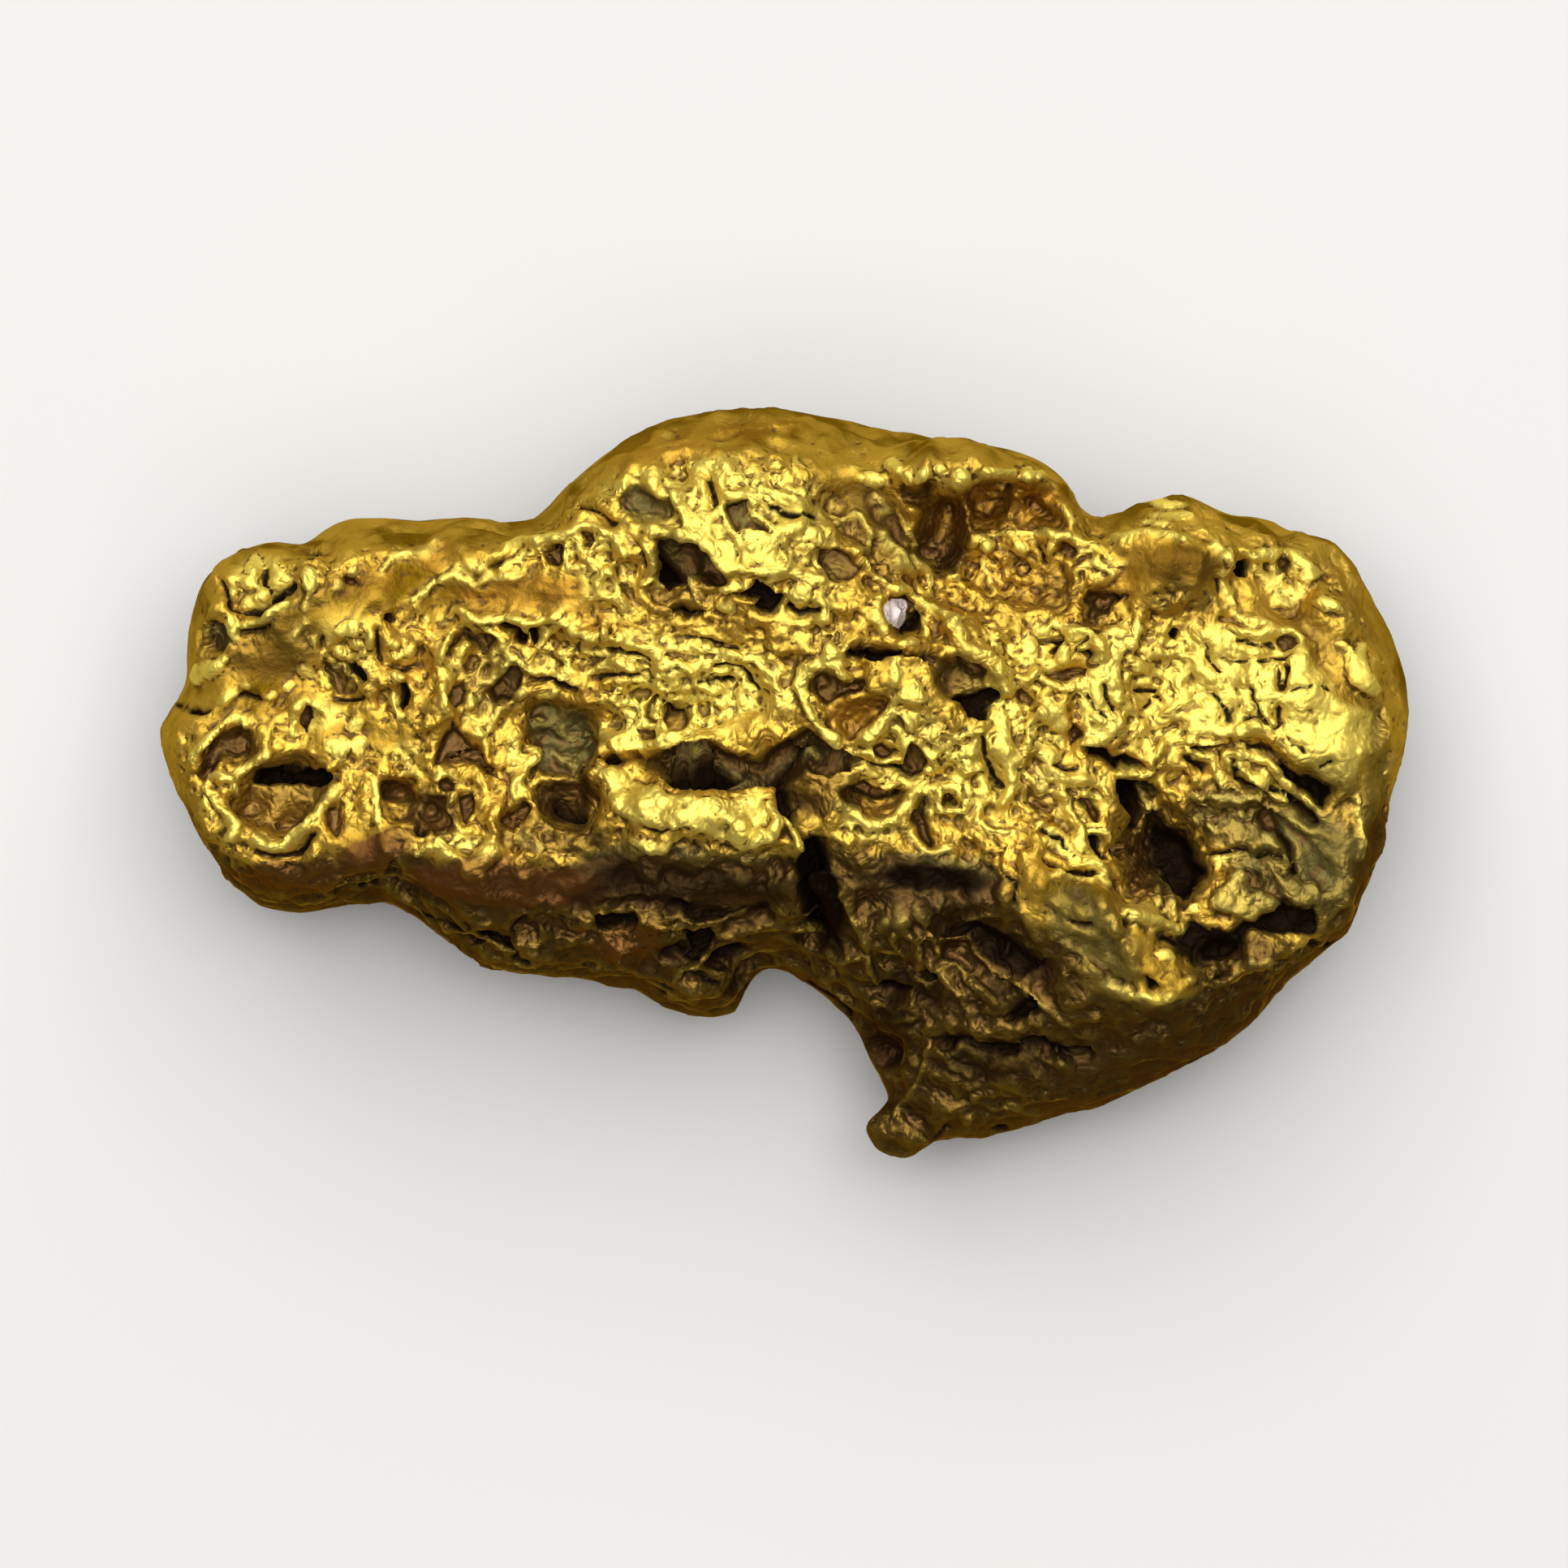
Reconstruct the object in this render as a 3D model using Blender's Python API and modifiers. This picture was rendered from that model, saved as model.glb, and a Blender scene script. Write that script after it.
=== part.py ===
"""A gold nugget: one water-worn lump of native gold, lying on its flattest side.

The lump is first laid out as a smooth closed form. Seen from above it fills an outline, its upper side
rises from that outline to a broad face, and its under side rounds down to a few worn flats. The swells,
ridges, creases and hollows of the face are then pushed into that form one after another.

All shaping is worked out in millimetres and scaled to metres at the end.
+X is the length, +Y the width, +Z up. The origin is the middle of the underside.
"""

import bmesh
import bpy
import numpy as np
from mathutils import Vector, noise

MM = 0.001

# Driving dimensions, in millimetres.
LENGTH = 30.88
FACE_HEIGHT = 8.9
END_DROP = 0.008
UNDER_ROUND = 4.6
WORN_DEPTH = 0.8
SKIN_STEP = 0.27
TRIANGLES = 9400
NOISE_SEED = 5

# The outline seen from above, anticlockwise from the right-hand end.
OUTLINE = (
    (15.43, 1.79), (15.38, 2.62), (15.08, 3.64), (14.56, 4.67), (14.05, 5.59), (13.54, 6.10),
    (12.41, 6.23), (12.10, 6.47), (10.87, 6.68), (10.26, 6.96), (9.64, 7.13), (9.13, 6.92),
    (8.92, 6.68), (8.00, 6.51), (7.34, 6.51), (7.24, 6.92), (6.97, 7.54), (6.36, 8.01),
    (5.33, 8.32), (3.90, 8.52), (2.87, 8.71), (2.05, 8.87), (1.03, 9.10), (-0.41, 9.24),
    (-1.64, 9.14), (-2.87, 8.93), (-3.90, 8.52), (-4.92, 7.74), (-5.74, 6.88), (-6.15, 6.47),
    (-6.77, 6.39), (-7.80, 6.57), (-9.03, 6.51), (-10.05, 6.63), (-10.77, 6.57), (-11.38, 6.27),
    (-11.65, 5.88), (-12.50, 6.02), (-13.33, 5.84), (-13.95, 5.45), (-14.36, 4.97), (-14.67, 3.85),
    (-14.73, 2.60), (-15.00, 2.05), (-15.45, 1.43), (-15.38, 0.77), (-14.97, -0.26), (-14.36, -1.38),
    (-13.74, -2.41), (-12.90, -3.03), (-11.90, -3.23), (-10.46, -2.96), (-9.85, -2.82), (-9.33, -3.13),
    (-8.80, -3.44), (-7.80, -4.15), (-6.97, -4.56), (-6.15, -4.73), (-4.92, -4.77), (-3.70, -5.08),
    (-2.87, -5.55), (-2.05, -5.75), (-1.20, -5.68), (-0.98, -5.20), (-0.80, -4.75), (-0.45, -4.50),
    (0.20, -4.60), (1.03, -5.20), (1.64, -5.80), (1.95, -6.40), (2.36, -7.20), (2.70, -7.90),
    (3.30, -8.75), (3.80, -8.90), (4.50, -8.77), (5.74, -8.56), (6.97, -8.15), (8.41, -7.74),
    (10.05, -6.92), (11.50, -6.00), (12.50, -4.77), (13.33, -4.15), (13.95, -3.74), (14.46, -2.51),
    (14.77, -1.49), (14.97, -0.26), (15.28, 0.77),
)

# The edge of the broad upper face. Between it and the outline the surface turns down.
FACE_EDGE = (
    (14.35, 1.50), (14.30, 3.00), (13.70, 4.60), (12.60, 5.50), (11.00, 5.75), (9.60, 6.20),
    (8.20, 5.75), (7.20, 5.90), (6.30, 7.10), (5.20, 7.55), (3.30, 7.60), (2.30, 7.30),
    (1.20, 7.20), (0.00, 7.60), (-2.00, 7.75), (-3.60, 7.50), (-5.00, 6.60), (-6.20, 5.60),
    (-8.00, 5.45), (-10.40, 5.30), (-12.20, 5.20), (-13.40, 4.60), (-13.90, 3.00), (-14.20, 0.80),
    (-14.00, -1.10), (-12.80, -1.85), (-11.00, -1.70), (-10.10, -1.10), (-8.70, -1.40), (-7.60, -2.00),
    (-5.50, -1.65), (-3.00, -1.45), (-0.60, -1.70), (0.60, -1.40), (2.00, -1.30), (3.80, -1.70),
    (5.30, -1.95), (6.30, -3.20), (7.60, -4.70), (9.40, -5.25), (11.00, -4.60), (12.60, -3.80),
    (13.60, -2.60), (14.10, -1.00),
)

# Where the outline lies above the ground: x, y, reach, height above or below the usual level.
RIM_LEVEL = 4.2
RIM_CHANGES = (
    (0.0, 8.5, 5.0, 0.8), (11.0, 6.5, 3.5, 0.5), (-10.0, -3.0, 4.5, -0.9), (-2.5, -5.5, 3.5, -1.4),
    (5.0, -8.5, 3.5, -1.6), (14.5, 0.0, 3.0, 0.2), (12.0, -5.5, 3.0, -0.9),
)

# Broad rises and falls of the upper face: x, y, reach along x, reach along y, height.
FACE_LOBES = (
    (-0.8, 5.8, 4.2, 2.4, 1.5), (3.2, 2.4, 3.2, 2.2, 0.7), (-2.2, -0.8, 3.0, 1.0, 0.7),
    (13.0, 2.0, 2.4, 3.4, 0.7), (9.8, 5.2, 1.7, 1.4, 0.8), (5.4, 5.2, 1.7, 1.0, -1.3),
    (-5.3, 0.8, 1.3, 1.9, -0.9), (9.4, -1.4, 1.7, 1.9, -0.9), (7.6, -3.2, 1.6, 1.6, 0.5),
    (-12.6, 3.6, 1.8, 1.9, 0.3), (-8.0, 4.6, 2.6, 0.8, -0.3),
    (4.6, 7.7, 2.2, 0.7, 0.5), (2.2, 6.6, 0.7, 1.0, -0.6), (-8.5, 1.5, 2.5, 2.2, -0.3),
)

# Swells: x, y, half length, half width, turn in degrees, height.
SWELLS = (
    (-12.8, 4.4, 1.5, 1.2, 20, 0.45), (-14.4, 0.8, 0.8, 1.5, 0, 0.35), (-11.5, 5.0, 0.5, 0.5, 0, 0.30),
    (-9.6, 4.6, 1.6, 0.5, -10, 0.30), (-3.8, -3.9, 0.9, 0.5, 10, 0.40), (-2.1, -4.9, 1.1, 0.6, -8, 0.60),
    (-10.0, -2.3, 0.6, 0.4, 0, 0.35), (-7.4, -2.3, 1.8, 0.6, -6, 0.35), (13.4, 4.4, 0.7, 0.5, -45, 0.30),
    (14.0, 2.8, 0.9, 0.4, -62, 0.30), (13.4, 1.3, 1.2, 1.2, 0, 0.30), (11.3, -2.8, 1.0, 0.5, 0, 0.45),
    (7.3, 3.5, 0.4, 0.4, 0, 0.30), (8.1, 2.5, 0.4, 0.5, 0, 0.30), (0.4, -1.2, 0.4, 0.7, 25, 0.35),
    (3.3, 7.7, 0.5, 0.3, 0, 0.35), (5.2, 7.7, 0.8, 0.3, -5, 0.35), (1.4, 3.3, 0.8, 0.4, 50, 0.45),
    (3.3, 1.6, 0.5, 0.4, 30, 0.35), (-4.9, 5.9, 0.5, 0.5, 0, 0.35), (4.9, -8.4, 0.6, 0.35, 5, 0.35),
    (3.1, -3.4, 0.6, 0.35, 20, 0.40), (-1.0, 2.7, 1.6, 0.5, -12, 0.30),
)

# Hollows: x, y, half length, half width, turn in degrees, depth, height of the lip round them.
HOLLOWS = (
    (-12.8, 5.0, 0.90, 0.65, 10, 0.45, 0.15), (-13.9, 3.6, 0.50, 0.40, 20, 0.45, 0.15),
    (-10.5, 2.9, 0.50, 0.85, 0, 0.60, 0.15), (-11.5, 1.6, 0.45, 0.45, 0, 0.40, 0.20),
    (-13.5, 0.6, 0.75, 0.65, 40, 0.70, 0.15), (-12.3, -0.3, 1.25, 1.05, 0, 1.30, 0.35),
    (-12.2, 0.35, 0.75, 0.30, 0, 0.70, 0.00), (-9.5, -0.3, 0.50, 0.55, 0, 0.60, 0.20),
    (-8.5, -0.8, 0.60, 0.50, 0, 0.60, 0.10), (-8.1, 0.7, 0.50, 0.40, 30, 0.60, 0.15),
    (-7.0, 0.3, 0.35, 0.50, 0, 0.50, 0.10), (-7.6, 3.3, 0.60, 0.60, 0, 0.45, 0.20),
    (-6.7, 2.6, 0.40, 0.55, 20, 0.60, 0.10), (-7.8, 2.1, 0.50, 0.40, 0, 0.50, 0.10),
    (-5.3, 1.2, 1.00, 1.25, -15, 0.75, 0.10), (-5.1, -0.6, 0.60, 0.90, 10, 0.70, 0.05),
    (-3.4, 6.9, 0.75, 0.55, -20, 0.90, 0.15), (-1.2, 6.6, 0.55, 0.40, 15, 0.55, 0.10),
    (-1.85, 7.1, 0.20, 0.50, 0, 0.60, 0.10), (-2.6, 5.3, 0.60, 0.80, 15, 1.30, 0.20),
    (-2.2, 4.2, 0.45, 0.32, 0, 0.90, 0.10), (-0.5, 4.4, 0.65, 0.32, -8, 0.90, 0.10),
    (1.7, 6.1, 0.50, 0.50, 0, 0.35, 0.15), (1.2, 5.4, 0.80, 0.40, 0, 0.40, 0.10),
    (5.0, 6.5, 2.00, 0.85, 5, 1.30, 0.10), (3.9, 6.2, 0.75, 0.70, 0, 1.50, 0.10),
    (5.2, 6.9, 0.60, 0.60, 0, 0.90, 0.00), (6.4, 6.7, 0.60, 0.55, 0, 0.80, 0.00),
    (2.95, 4.2, 0.52, 0.50, 0, 0.70, 0.30), (-2.5, 1.8, 0.75, 0.60, 0, 0.50, 0.20),
    (0.5, 1.1, 0.60, 0.50, 20, 1.20, 0.10), (2.0, 3.2, 0.50, 0.30, 0, 0.90, 0.00),
    (3.7, 3.1, 0.35, 0.30, 0, 0.70, 0.00), (1.1, 2.5, 0.42, 0.42, 0, 0.70, 0.20),
    (1.7, 1.9, 0.70, 0.55, 0, 0.70, 0.10), (4.3, 2.4, 0.80, 0.75, 0, 0.90, 0.25),
    (2.2, -0.3, 0.90, 0.55, -15, 0.90, 0.25), (3.35, -0.6, 0.25, 0.38, 0, 0.50, 0.15),
    (4.1, -0.4, 0.30, 0.30, 0, 0.40, 0.20), (12.0, 5.3, 1.10, 0.65, -12, 0.70, 0.10),
    (11.25, 5.35, 0.25, 0.25, 0, 0.60, 0.00), (7.6, 5.1, 0.42, 0.40, 0, 0.35, 0.20),
    (7.6, 4.4, 0.55, 0.35, 0, 0.50, 0.05), (9.2, -1.4, 1.00, 1.60, 25, 1.40, 0.15),
    (8.5, -0.5, 0.35, 0.60, 10, 1.00, 0.00), (9.8, -2.3, 0.45, 0.45, 0, 0.60, 0.00),
    (7.9, 0.5, 0.60, 0.35, -25, 0.60, 0.10), (10.7, -4.4, 0.50, 0.35, 0, 0.60, 0.10),
    (-2.1, -3.7, 0.75, 0.40, 0, 0.80, 0.15), (-4.2, -3.2, 0.50, 0.32, 0, 0.45, 0.05),
    (6.0, -5.4, 0.45, 0.35, 30, 0.50, 0.10), (2.6, -6.7, 0.35, 0.45, 0, 0.40, 0.05),
    (4.6, -4.3, 0.80, 0.45, 20, 0.45, 0.05),
)

# Creases: width, depth, and the points they run through.
CREASES = (
    (0.38, 1.40, ((-4.4, 0.45), (-3.4, 0.35), (-2.4, 0.30), (-1.3, 0.40), (-0.3, 0.55), (0.5, 1.1))),
    (0.24, 0.70, ((0.5, 0.9), (1.5, 0.65), (2.1, 0.35), (2.8, 0.3), (3.3, 0.8))),
    (0.28, 0.90, ((1.6, 3.3), (2.3, 3.1), (3.0, 3.3), (3.7, 3.1))),
    (0.28, 0.90, ((0.0, 0.0), (0.3, -0.6), (0.9, -1.4), (0.8, -2.1), (0.7, -2.8), (0.9, -3.8))),
    (0.24, 0.70, ((11.0, 1.0), (11.6, 0.95), (12.2, 0.4), (12.8, 0.2), (13.3, -0.2), (13.5, -0.7))),
    (0.30, 0.70, ((-15.6, 2.1), (-14.9, 1.95), (-14.2, 1.6), (-13.6, 1.75))),
    (0.60, 0.60, ((1.2, 7.3), (2.2, 7.1), (2.9, 6.0), (3.3, 5.2))),
    (0.24, 0.45, ((-7.9, -3.5), (-7.5, -3.8), (-6.9, -3.8), (-6.6, -4.4), (-6.2, -4.7))),
    (0.30, 0.55, ((4.0, -6.4), (5.0, -6.5), (6.0, -6.6), (7.4, -6.7))),
    (0.30, 0.50, ((-3.0, -4.2), (-2.0, -4.1), (-1.0, -4.3))),
    (0.24, 0.35, ((14.2, 2.0), (14.3, 0.5), (14.1, -1.0), (13.8, -2.2))),
    (0.30, 0.40, ((10.9, 5.0), (12.3, 4.25), (13.0, 3.7), (13.9, 2.3))),
    (0.30, 0.45, ((-11.6, 6.3), (-11.6, 5.6), (-11.2, 4.9))),
)

# Ridges: width, height, and the points they run through.
RIDGES = (
    (0.28, 0.35, ((-13.2, -1.4), (-12.5, -1.6), (-11.8, -1.3), (-11.4, -0.7), (-11.0, -0.1))),
    (0.30, 0.30, ((-13.0, 0.2), (-12.5, 0.8), (-11.5, 0.7), (-11.0, 0.3))),
    (0.60, 0.65, ((-4.5, 0.1), (-3.5, -0.4), (-2.0, -0.8), (-0.6, -1.2), (0.0, -1.0))),
    (0.40, 0.35, ((-4.3, 0.85), (-3.3, 0.85), (-2.6, 1.05), (-1.5, 1.05), (-0.7, 1.2))),
    (0.90, 0.60, ((6.4, -2.2), (8.0, -3.5), (9.3, -5.0))),
    (0.28, 0.45, ((2.4, 4.9), (3.0, 4.75), (4.0, 4.1), (4.7, 3.4), (5.2, 2.8), (5.6, 2.2))),
    (0.25, 0.35, ((5.15, 1.4), (5.4, -0.4))),
    (0.28, 0.30, ((7.9, 3.2), (8.0, 1.2))),
    (0.30, 0.35, ((-3.3, 6.0), (-1.5, 5.9), (-1.6, 5.3), (0.0, 5.2), (0.5, 4.7))),
    (0.26, 0.30, ((-2.6, 7.5), (-2.5, 6.2))),
    (0.30, 0.30, ((-8.3, 3.6), (-8.4, 2.5), (-8.2, 1.8))),
    (0.30, 0.35, ((-6.2, 0.9), (-6.1, 0.3), (-6.6, -0.3), (-6.9, -1.5), (-7.6, -2.0))),
    (0.30, 0.25, ((-7.6, 4.0), (-6.0, 3.95), (-5.5, 4.0), (-4.8, 3.6), (-3.4, 3.4))),
    (0.30, 0.25, ((-8.6, 5.3), (-7.2, 5.6), (-5.6, 5.7))),
    (0.30, 0.30, ((0.6, 2.9), (0.6, 2.1), (1.1, 1.4), (1.7, 0.95))),
    (0.26, 0.30, ((1.4, -0.9), (2.4, -1.15), (3.1, -1.1), (3.5, -1.6), (3.9, -1.5))),
    (0.28, 0.35, ((1.3, -2.6), (1.7, -3.1), (2.0, -3.8), (2.1, -4.6), (2.5, -5.2))),
    (0.30, 0.35, ((3.8, -6.3), (3.4, -7.3), (2.9, -8.1))),
    (0.30, 0.35, ((8.6, -3.2), (9.4, -3.6), (10.1, -3.1))),
    (0.26, 0.30, ((10.5, 5.9), (10.9, 5.0), (11.1, 4.3))),
    (0.28, 0.30, ((-9.7, -1.7), (-9.2, -2.1), (-9.3, -2.7))),
)

# How far the edges of those forms wander: waves a millimetre, reach.
WANDER = ((0.8, 0.16), (1.9, 0.14))

# The bead of metal at the lower tip: place, radii.
BEAD_AT = (2.88, -8.60, 3.1)
BEAD_RADII = (0.85, 0.68, 0.80)

# Lumps and hollows of the under side: x, y, reach, height downwards.
UNDER_LUMPS = (
    (-10.5, 1.8, 3.0, 0.7), (-1.0, 5.0, 3.4, 0.6), (9.0, 2.8, 3.6, 0.8), (5.5, -4.0, 2.8, 0.7),
    (-3.5, 0.2, 2.4, -0.8), (3.6, 0.8, 1.8, -0.9), (-6.4, 4.0, 1.6, -0.6), (12.0, -2.0, 2.0, -0.7),
    (-8.0, -1.8, 1.8, -0.5), (4.5, 5.6, 1.6, -0.5),
)


def smooth(low, high, value):
    """0 below low, 1 above high, and an even curve between."""
    t = np.clip((value - low) / (high - low), 0.0, 1.0)
    return t * t * (3.0 - 2.0 * t)


def distance_to_line(x, y, points):
    """Shortest distance from each x, y to the line through the points."""
    best = np.full(x.shape, 1e9)
    for (ax, ay), (bx, by) in zip(points[:-1], points[1:]):
        dx, dy = bx - ax, by - ay
        t = np.clip(((x - ax) * dx + (y - ay) * dy) / (dx * dx + dy * dy), 0.0, 1.0)
        best = np.minimum(best, np.hypot(x - ax - t * dx, y - ay - t * dy))
    return best


def inside(x, y, points):
    """True where x, y lies inside the closed outline."""
    found = np.zeros(x.shape, bool)
    for (ax, ay), (bx, by) in zip(points, points[1:] + points[:1]):
        crosses = (ay > y) != (by > y)
        found ^= crosses & (x < ax + (y - ay) * (bx - ax) / (by - ay + 1e-12))
    return found


def oval(x, y, cx, cy, half_length, half_width, turn):
    """Distance from an oval's middle, as a share of its radius that way."""
    angle = np.radians(turn)
    u = (x - cx) * np.cos(angle) + (y - cy) * np.sin(angle)
    v = (y - cy) * np.cos(angle) - (x - cx) * np.sin(angle)
    return np.hypot(u / half_length, v / half_width)


def upper_height(x, y):
    """Height of the smooth upper side over x, y."""
    rim = rim_height(x, y)
    face = FACE_HEIGHT - END_DROP * x**2
    for cx, cy, reach_x, reach_y, height in FACE_LOBES:
        face += height * np.exp(-(((x - cx) / reach_x) ** 2) - ((y - cy) / reach_y) ** 2)
    to_outline = distance_to_line(x, y, OUTLINE + OUTLINE[:1])
    to_face = distance_to_line(x, y, FACE_EDGE + FACE_EDGE[:1])
    to_face[inside(x, y, FACE_EDGE)] = 0.0
    share = to_outline / np.maximum(to_outline + to_face, 1e-6)
    front = smooth(1.5, -1.5, y)
    steep = 2.0 - 0.5 * front
    fall = np.maximum(1.0 - (1.0 - share) ** steep, 0.0) ** (0.55 + 0.2 * front)
    return rim + (face - rim) * fall


def rim_height(x, y):
    """Height of the widest line of the lump."""
    rim = np.full(x.shape, RIM_LEVEL)
    for cx, cy, reach, height in RIM_CHANGES:
        rim += height * np.exp(-((x - cx) ** 2 + (y - cy) ** 2) / reach**2)
    return rim


def lower_height(x, y):
    """Height of the smooth under side over x, y, before its lowest places are worn flat."""
    rim = rim_height(x, y)
    share = np.clip(distance_to_line(x, y, OUTLINE + OUTLINE[:1]) / UNDER_ROUND, 0.0, 1.0)
    height = rim - rim * np.sqrt(np.maximum(1.0 - (1.0 - share) ** 2, 0.0))
    for cx, cy, reach, drop in UNDER_LUMPS:
        height -= share * drop * np.exp(-((x - cx) ** 2 + (y - cy) ** 2) / reach**2)
    return height


def lump():
    """The smooth lump: a sphere whose points are spread over the outline and set to its heights."""
    shape = bmesh.new()
    bmesh.ops.create_uvsphere(shape, u_segments=480, v_segments=180, radius=1.0)
    mesh = bpy.data.meshes.new("lump")
    shape.to_mesh(mesh)
    shape.free()
    points = coordinates(mesh)
    corners = np.array(OUTLINE)
    angles = np.arctan2(corners[:, 1], corners[:, 0])
    order = np.argsort(angles)
    radii = np.hypot(corners[:, 0], corners[:, 1])[order]
    around = np.arctan2(points[:, 1], points[:, 0])
    reach = np.interp(around, angles[order], radii, period=2.0 * np.pi)
    level = np.arcsin(np.clip(points[:, 2], -1.0, 1.0))
    spread = np.cos(level) ** 0.75
    x = spread * reach * np.cos(around)
    y = spread * reach * np.sin(around)
    z = np.where(points[:, 2] > 0.0, upper_height(x, y), lower_height(x, y))
    place(mesh, np.column_stack([x, y, z]))
    return mesh


def coordinates(mesh):
    flat = np.empty(len(mesh.vertices) * 3, np.float32)
    mesh.vertices.foreach_get("co", flat)
    return flat.reshape(-1, 3).astype(np.float64)


def normals(mesh):
    flat = np.empty(len(mesh.vertices) * 3, np.float32)
    mesh.vertices.foreach_get("normal", flat)
    return flat.reshape(-1, 3).astype(np.float64)


def place(mesh, points):
    mesh.vertices.foreach_set("co", points.astype(np.float32).reshape(-1))
    mesh.update()


def with_modifier(mesh, kind, **settings):
    """A new mesh: this one after one modifier."""
    helper = bpy.data.objects.new("helper", mesh)
    bpy.context.scene.collection.objects.link(helper)
    modifier = helper.modifiers.new(kind.title(), kind)
    for name, value in settings.items():
        setattr(modifier, name, value)
    graph = bpy.context.evaluated_depsgraph_get()
    result = bpy.data.meshes.new_from_object(helper.evaluated_get(graph))
    bpy.data.objects.remove(helper)
    return result


def even_skin(mesh, extra=()):
    """The mesh, and any closed shapes pushed into it, under one skin of even faces."""
    joined = bmesh.new()
    joined.from_mesh(mesh)
    for place_at, radii in extra:
        ball = bmesh.ops.create_icosphere(joined, subdivisions=3, radius=1.0)
        bmesh.ops.scale(joined, vec=Vector(radii), verts=ball["verts"])
        bmesh.ops.translate(joined, vec=Vector(place_at), verts=ball["verts"])
    joined.to_mesh(mesh)
    joined.free()
    return with_modifier(mesh, "REMESH", mode="VOXEL", voxel_size=SKIN_STEP, adaptivity=0.0)


def wandered(points):
    """x and y of the points, each shifted a little so that no edge is a perfect oval or line."""
    x, y = points[:, 0].copy(), points[:, 1].copy()
    for size, reach in WANDER:
        flat = [Vector((px, py, 0.0)) * size for px, py in points[:, :2]]
        shift = np.array([noise.noise_vector(p) for p in flat]) * reach
        x += shift[:, 0]
        y += shift[:, 1]
    return x, y


def face_relief(points):
    """Height added to the upper face by its swells, hollows, creases and ridges."""
    x, y = wandered(points)
    relief = np.zeros(x.shape)
    for cx, cy, half_length, half_width, turn, height in SWELLS:
        relief += height * np.exp(-(oval(x, y, cx, cy, half_length, half_width, turn) ** 2))
    for width, height, points in RIDGES:
        relief += height * np.exp(-((distance_to_line(x, y, points) / width) ** 2))
    for width, depth, points in CREASES:
        relief -= depth * np.exp(-np.abs(distance_to_line(x, y, points) / width) ** 1.4)
    for cx, cy, half_length, half_width, turn, depth, lip in HOLLOWS:
        share = oval(x, y, cx, cy, half_length, half_width, turn)
        relief -= depth * (1.0 - smooth(0.35, 1.1, share))
        relief += lip * np.exp(-(((share - 1.3) / 0.28) ** 2))
    return relief


def worn_lumps(points):
    """Uneven roundness of the whole surface, larger and smaller lumps together."""
    broad = [noise.noise(Vector(p) * 0.36) for p in points]
    small = [abs(noise.noise(Vector(p) * 0.95 + Vector((7.0, 3.0, 1.0)))) for p in points]
    return 0.45 * np.array(broad) + 0.5 * (0.16 - np.array(small))


def shaped(mesh):
    """Pushes the relief into the smooth lump and wears its lowest places flat."""
    points = coordinates(mesh)
    outward = normals(mesh)
    up_side = smooth(0.05, 0.5, outward[:, 2])
    push = outward + np.array([0.0, 0.0, 0.8]) * up_side[:, None]
    push /= np.linalg.norm(push, axis=1)[:, None]
    above_rim = points[:, 2] - rim_height(points[:, 0], points[:, 1])
    at_widest = (1.0 - np.abs(outward[:, 2])) * np.exp(-((above_rim / 1.3) ** 2))
    relief = up_side * face_relief(points) + (1.0 - 0.85 * at_widest) * worn_lumps(points)
    points += push * relief[:, None]
    place(mesh, points)


def nugget_mesh():
    mesh = even_skin(lump(), extra=[(BEAD_AT, BEAD_RADII)])
    shaped(mesh)
    mesh = with_modifier(mesh, "REMESH", mode="VOXEL", voxel_size=SKIN_STEP, adaptivity=0.0)
    faces = len(mesh.polygons) * 2
    mesh = with_modifier(mesh, "DECIMATE", ratio=TRIANGLES / faces, use_collapse_triangulate=True)
    points = coordinates(mesh)
    ground = points[:, 2].min() + WORN_DEPTH
    points[:, 2] = np.maximum(points[:, 2] - ground, 0.0)
    low, high = points.min(axis=0), points.max(axis=0)
    points[:, :2] -= (low + high)[:2] / 2.0
    place(mesh, points * (LENGTH / (high - low)[0]) * MM)
    return mesh


def gold():
    material = bpy.data.materials.new("native gold")
    material.use_nodes = True
    shader = material.node_tree.nodes["Principled BSDF"]
    shader.inputs["Base Color"].default_value = (0.78, 0.50, 0.10, 1.0)
    shader.inputs["Metallic"].default_value = 1.0
    shader.inputs["Roughness"].default_value = 0.32
    return material


for old in list(bpy.data.objects):
    bpy.data.objects.remove(old)
noise.seed_set(NOISE_SEED)

collection = bpy.data.collections.new("gold nugget")
bpy.context.scene.collection.children.link(collection)
nugget = bpy.data.objects.new("nugget", nugget_mesh())
nugget.data.materials.append(gold())
nugget.data.shade_smooth()
collection.objects.link(nugget)
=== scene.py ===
"""A gold nugget on a pale studio floor, seen from straight above its pitted face."""

import math

import bmesh
import bpy
import numpy as np
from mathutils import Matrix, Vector, noise


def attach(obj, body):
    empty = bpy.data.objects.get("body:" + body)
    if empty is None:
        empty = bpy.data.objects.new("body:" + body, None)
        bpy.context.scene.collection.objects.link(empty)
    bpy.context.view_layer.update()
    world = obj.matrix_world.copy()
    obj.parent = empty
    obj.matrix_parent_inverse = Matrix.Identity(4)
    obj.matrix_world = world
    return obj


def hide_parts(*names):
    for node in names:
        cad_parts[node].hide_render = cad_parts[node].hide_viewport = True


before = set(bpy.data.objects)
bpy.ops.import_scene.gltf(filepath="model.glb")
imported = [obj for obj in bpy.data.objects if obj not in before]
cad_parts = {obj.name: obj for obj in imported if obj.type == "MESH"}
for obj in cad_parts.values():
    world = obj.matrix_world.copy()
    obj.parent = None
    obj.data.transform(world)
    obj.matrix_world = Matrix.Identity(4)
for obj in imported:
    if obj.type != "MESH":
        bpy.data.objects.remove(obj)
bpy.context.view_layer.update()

MM = 0.001

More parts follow.
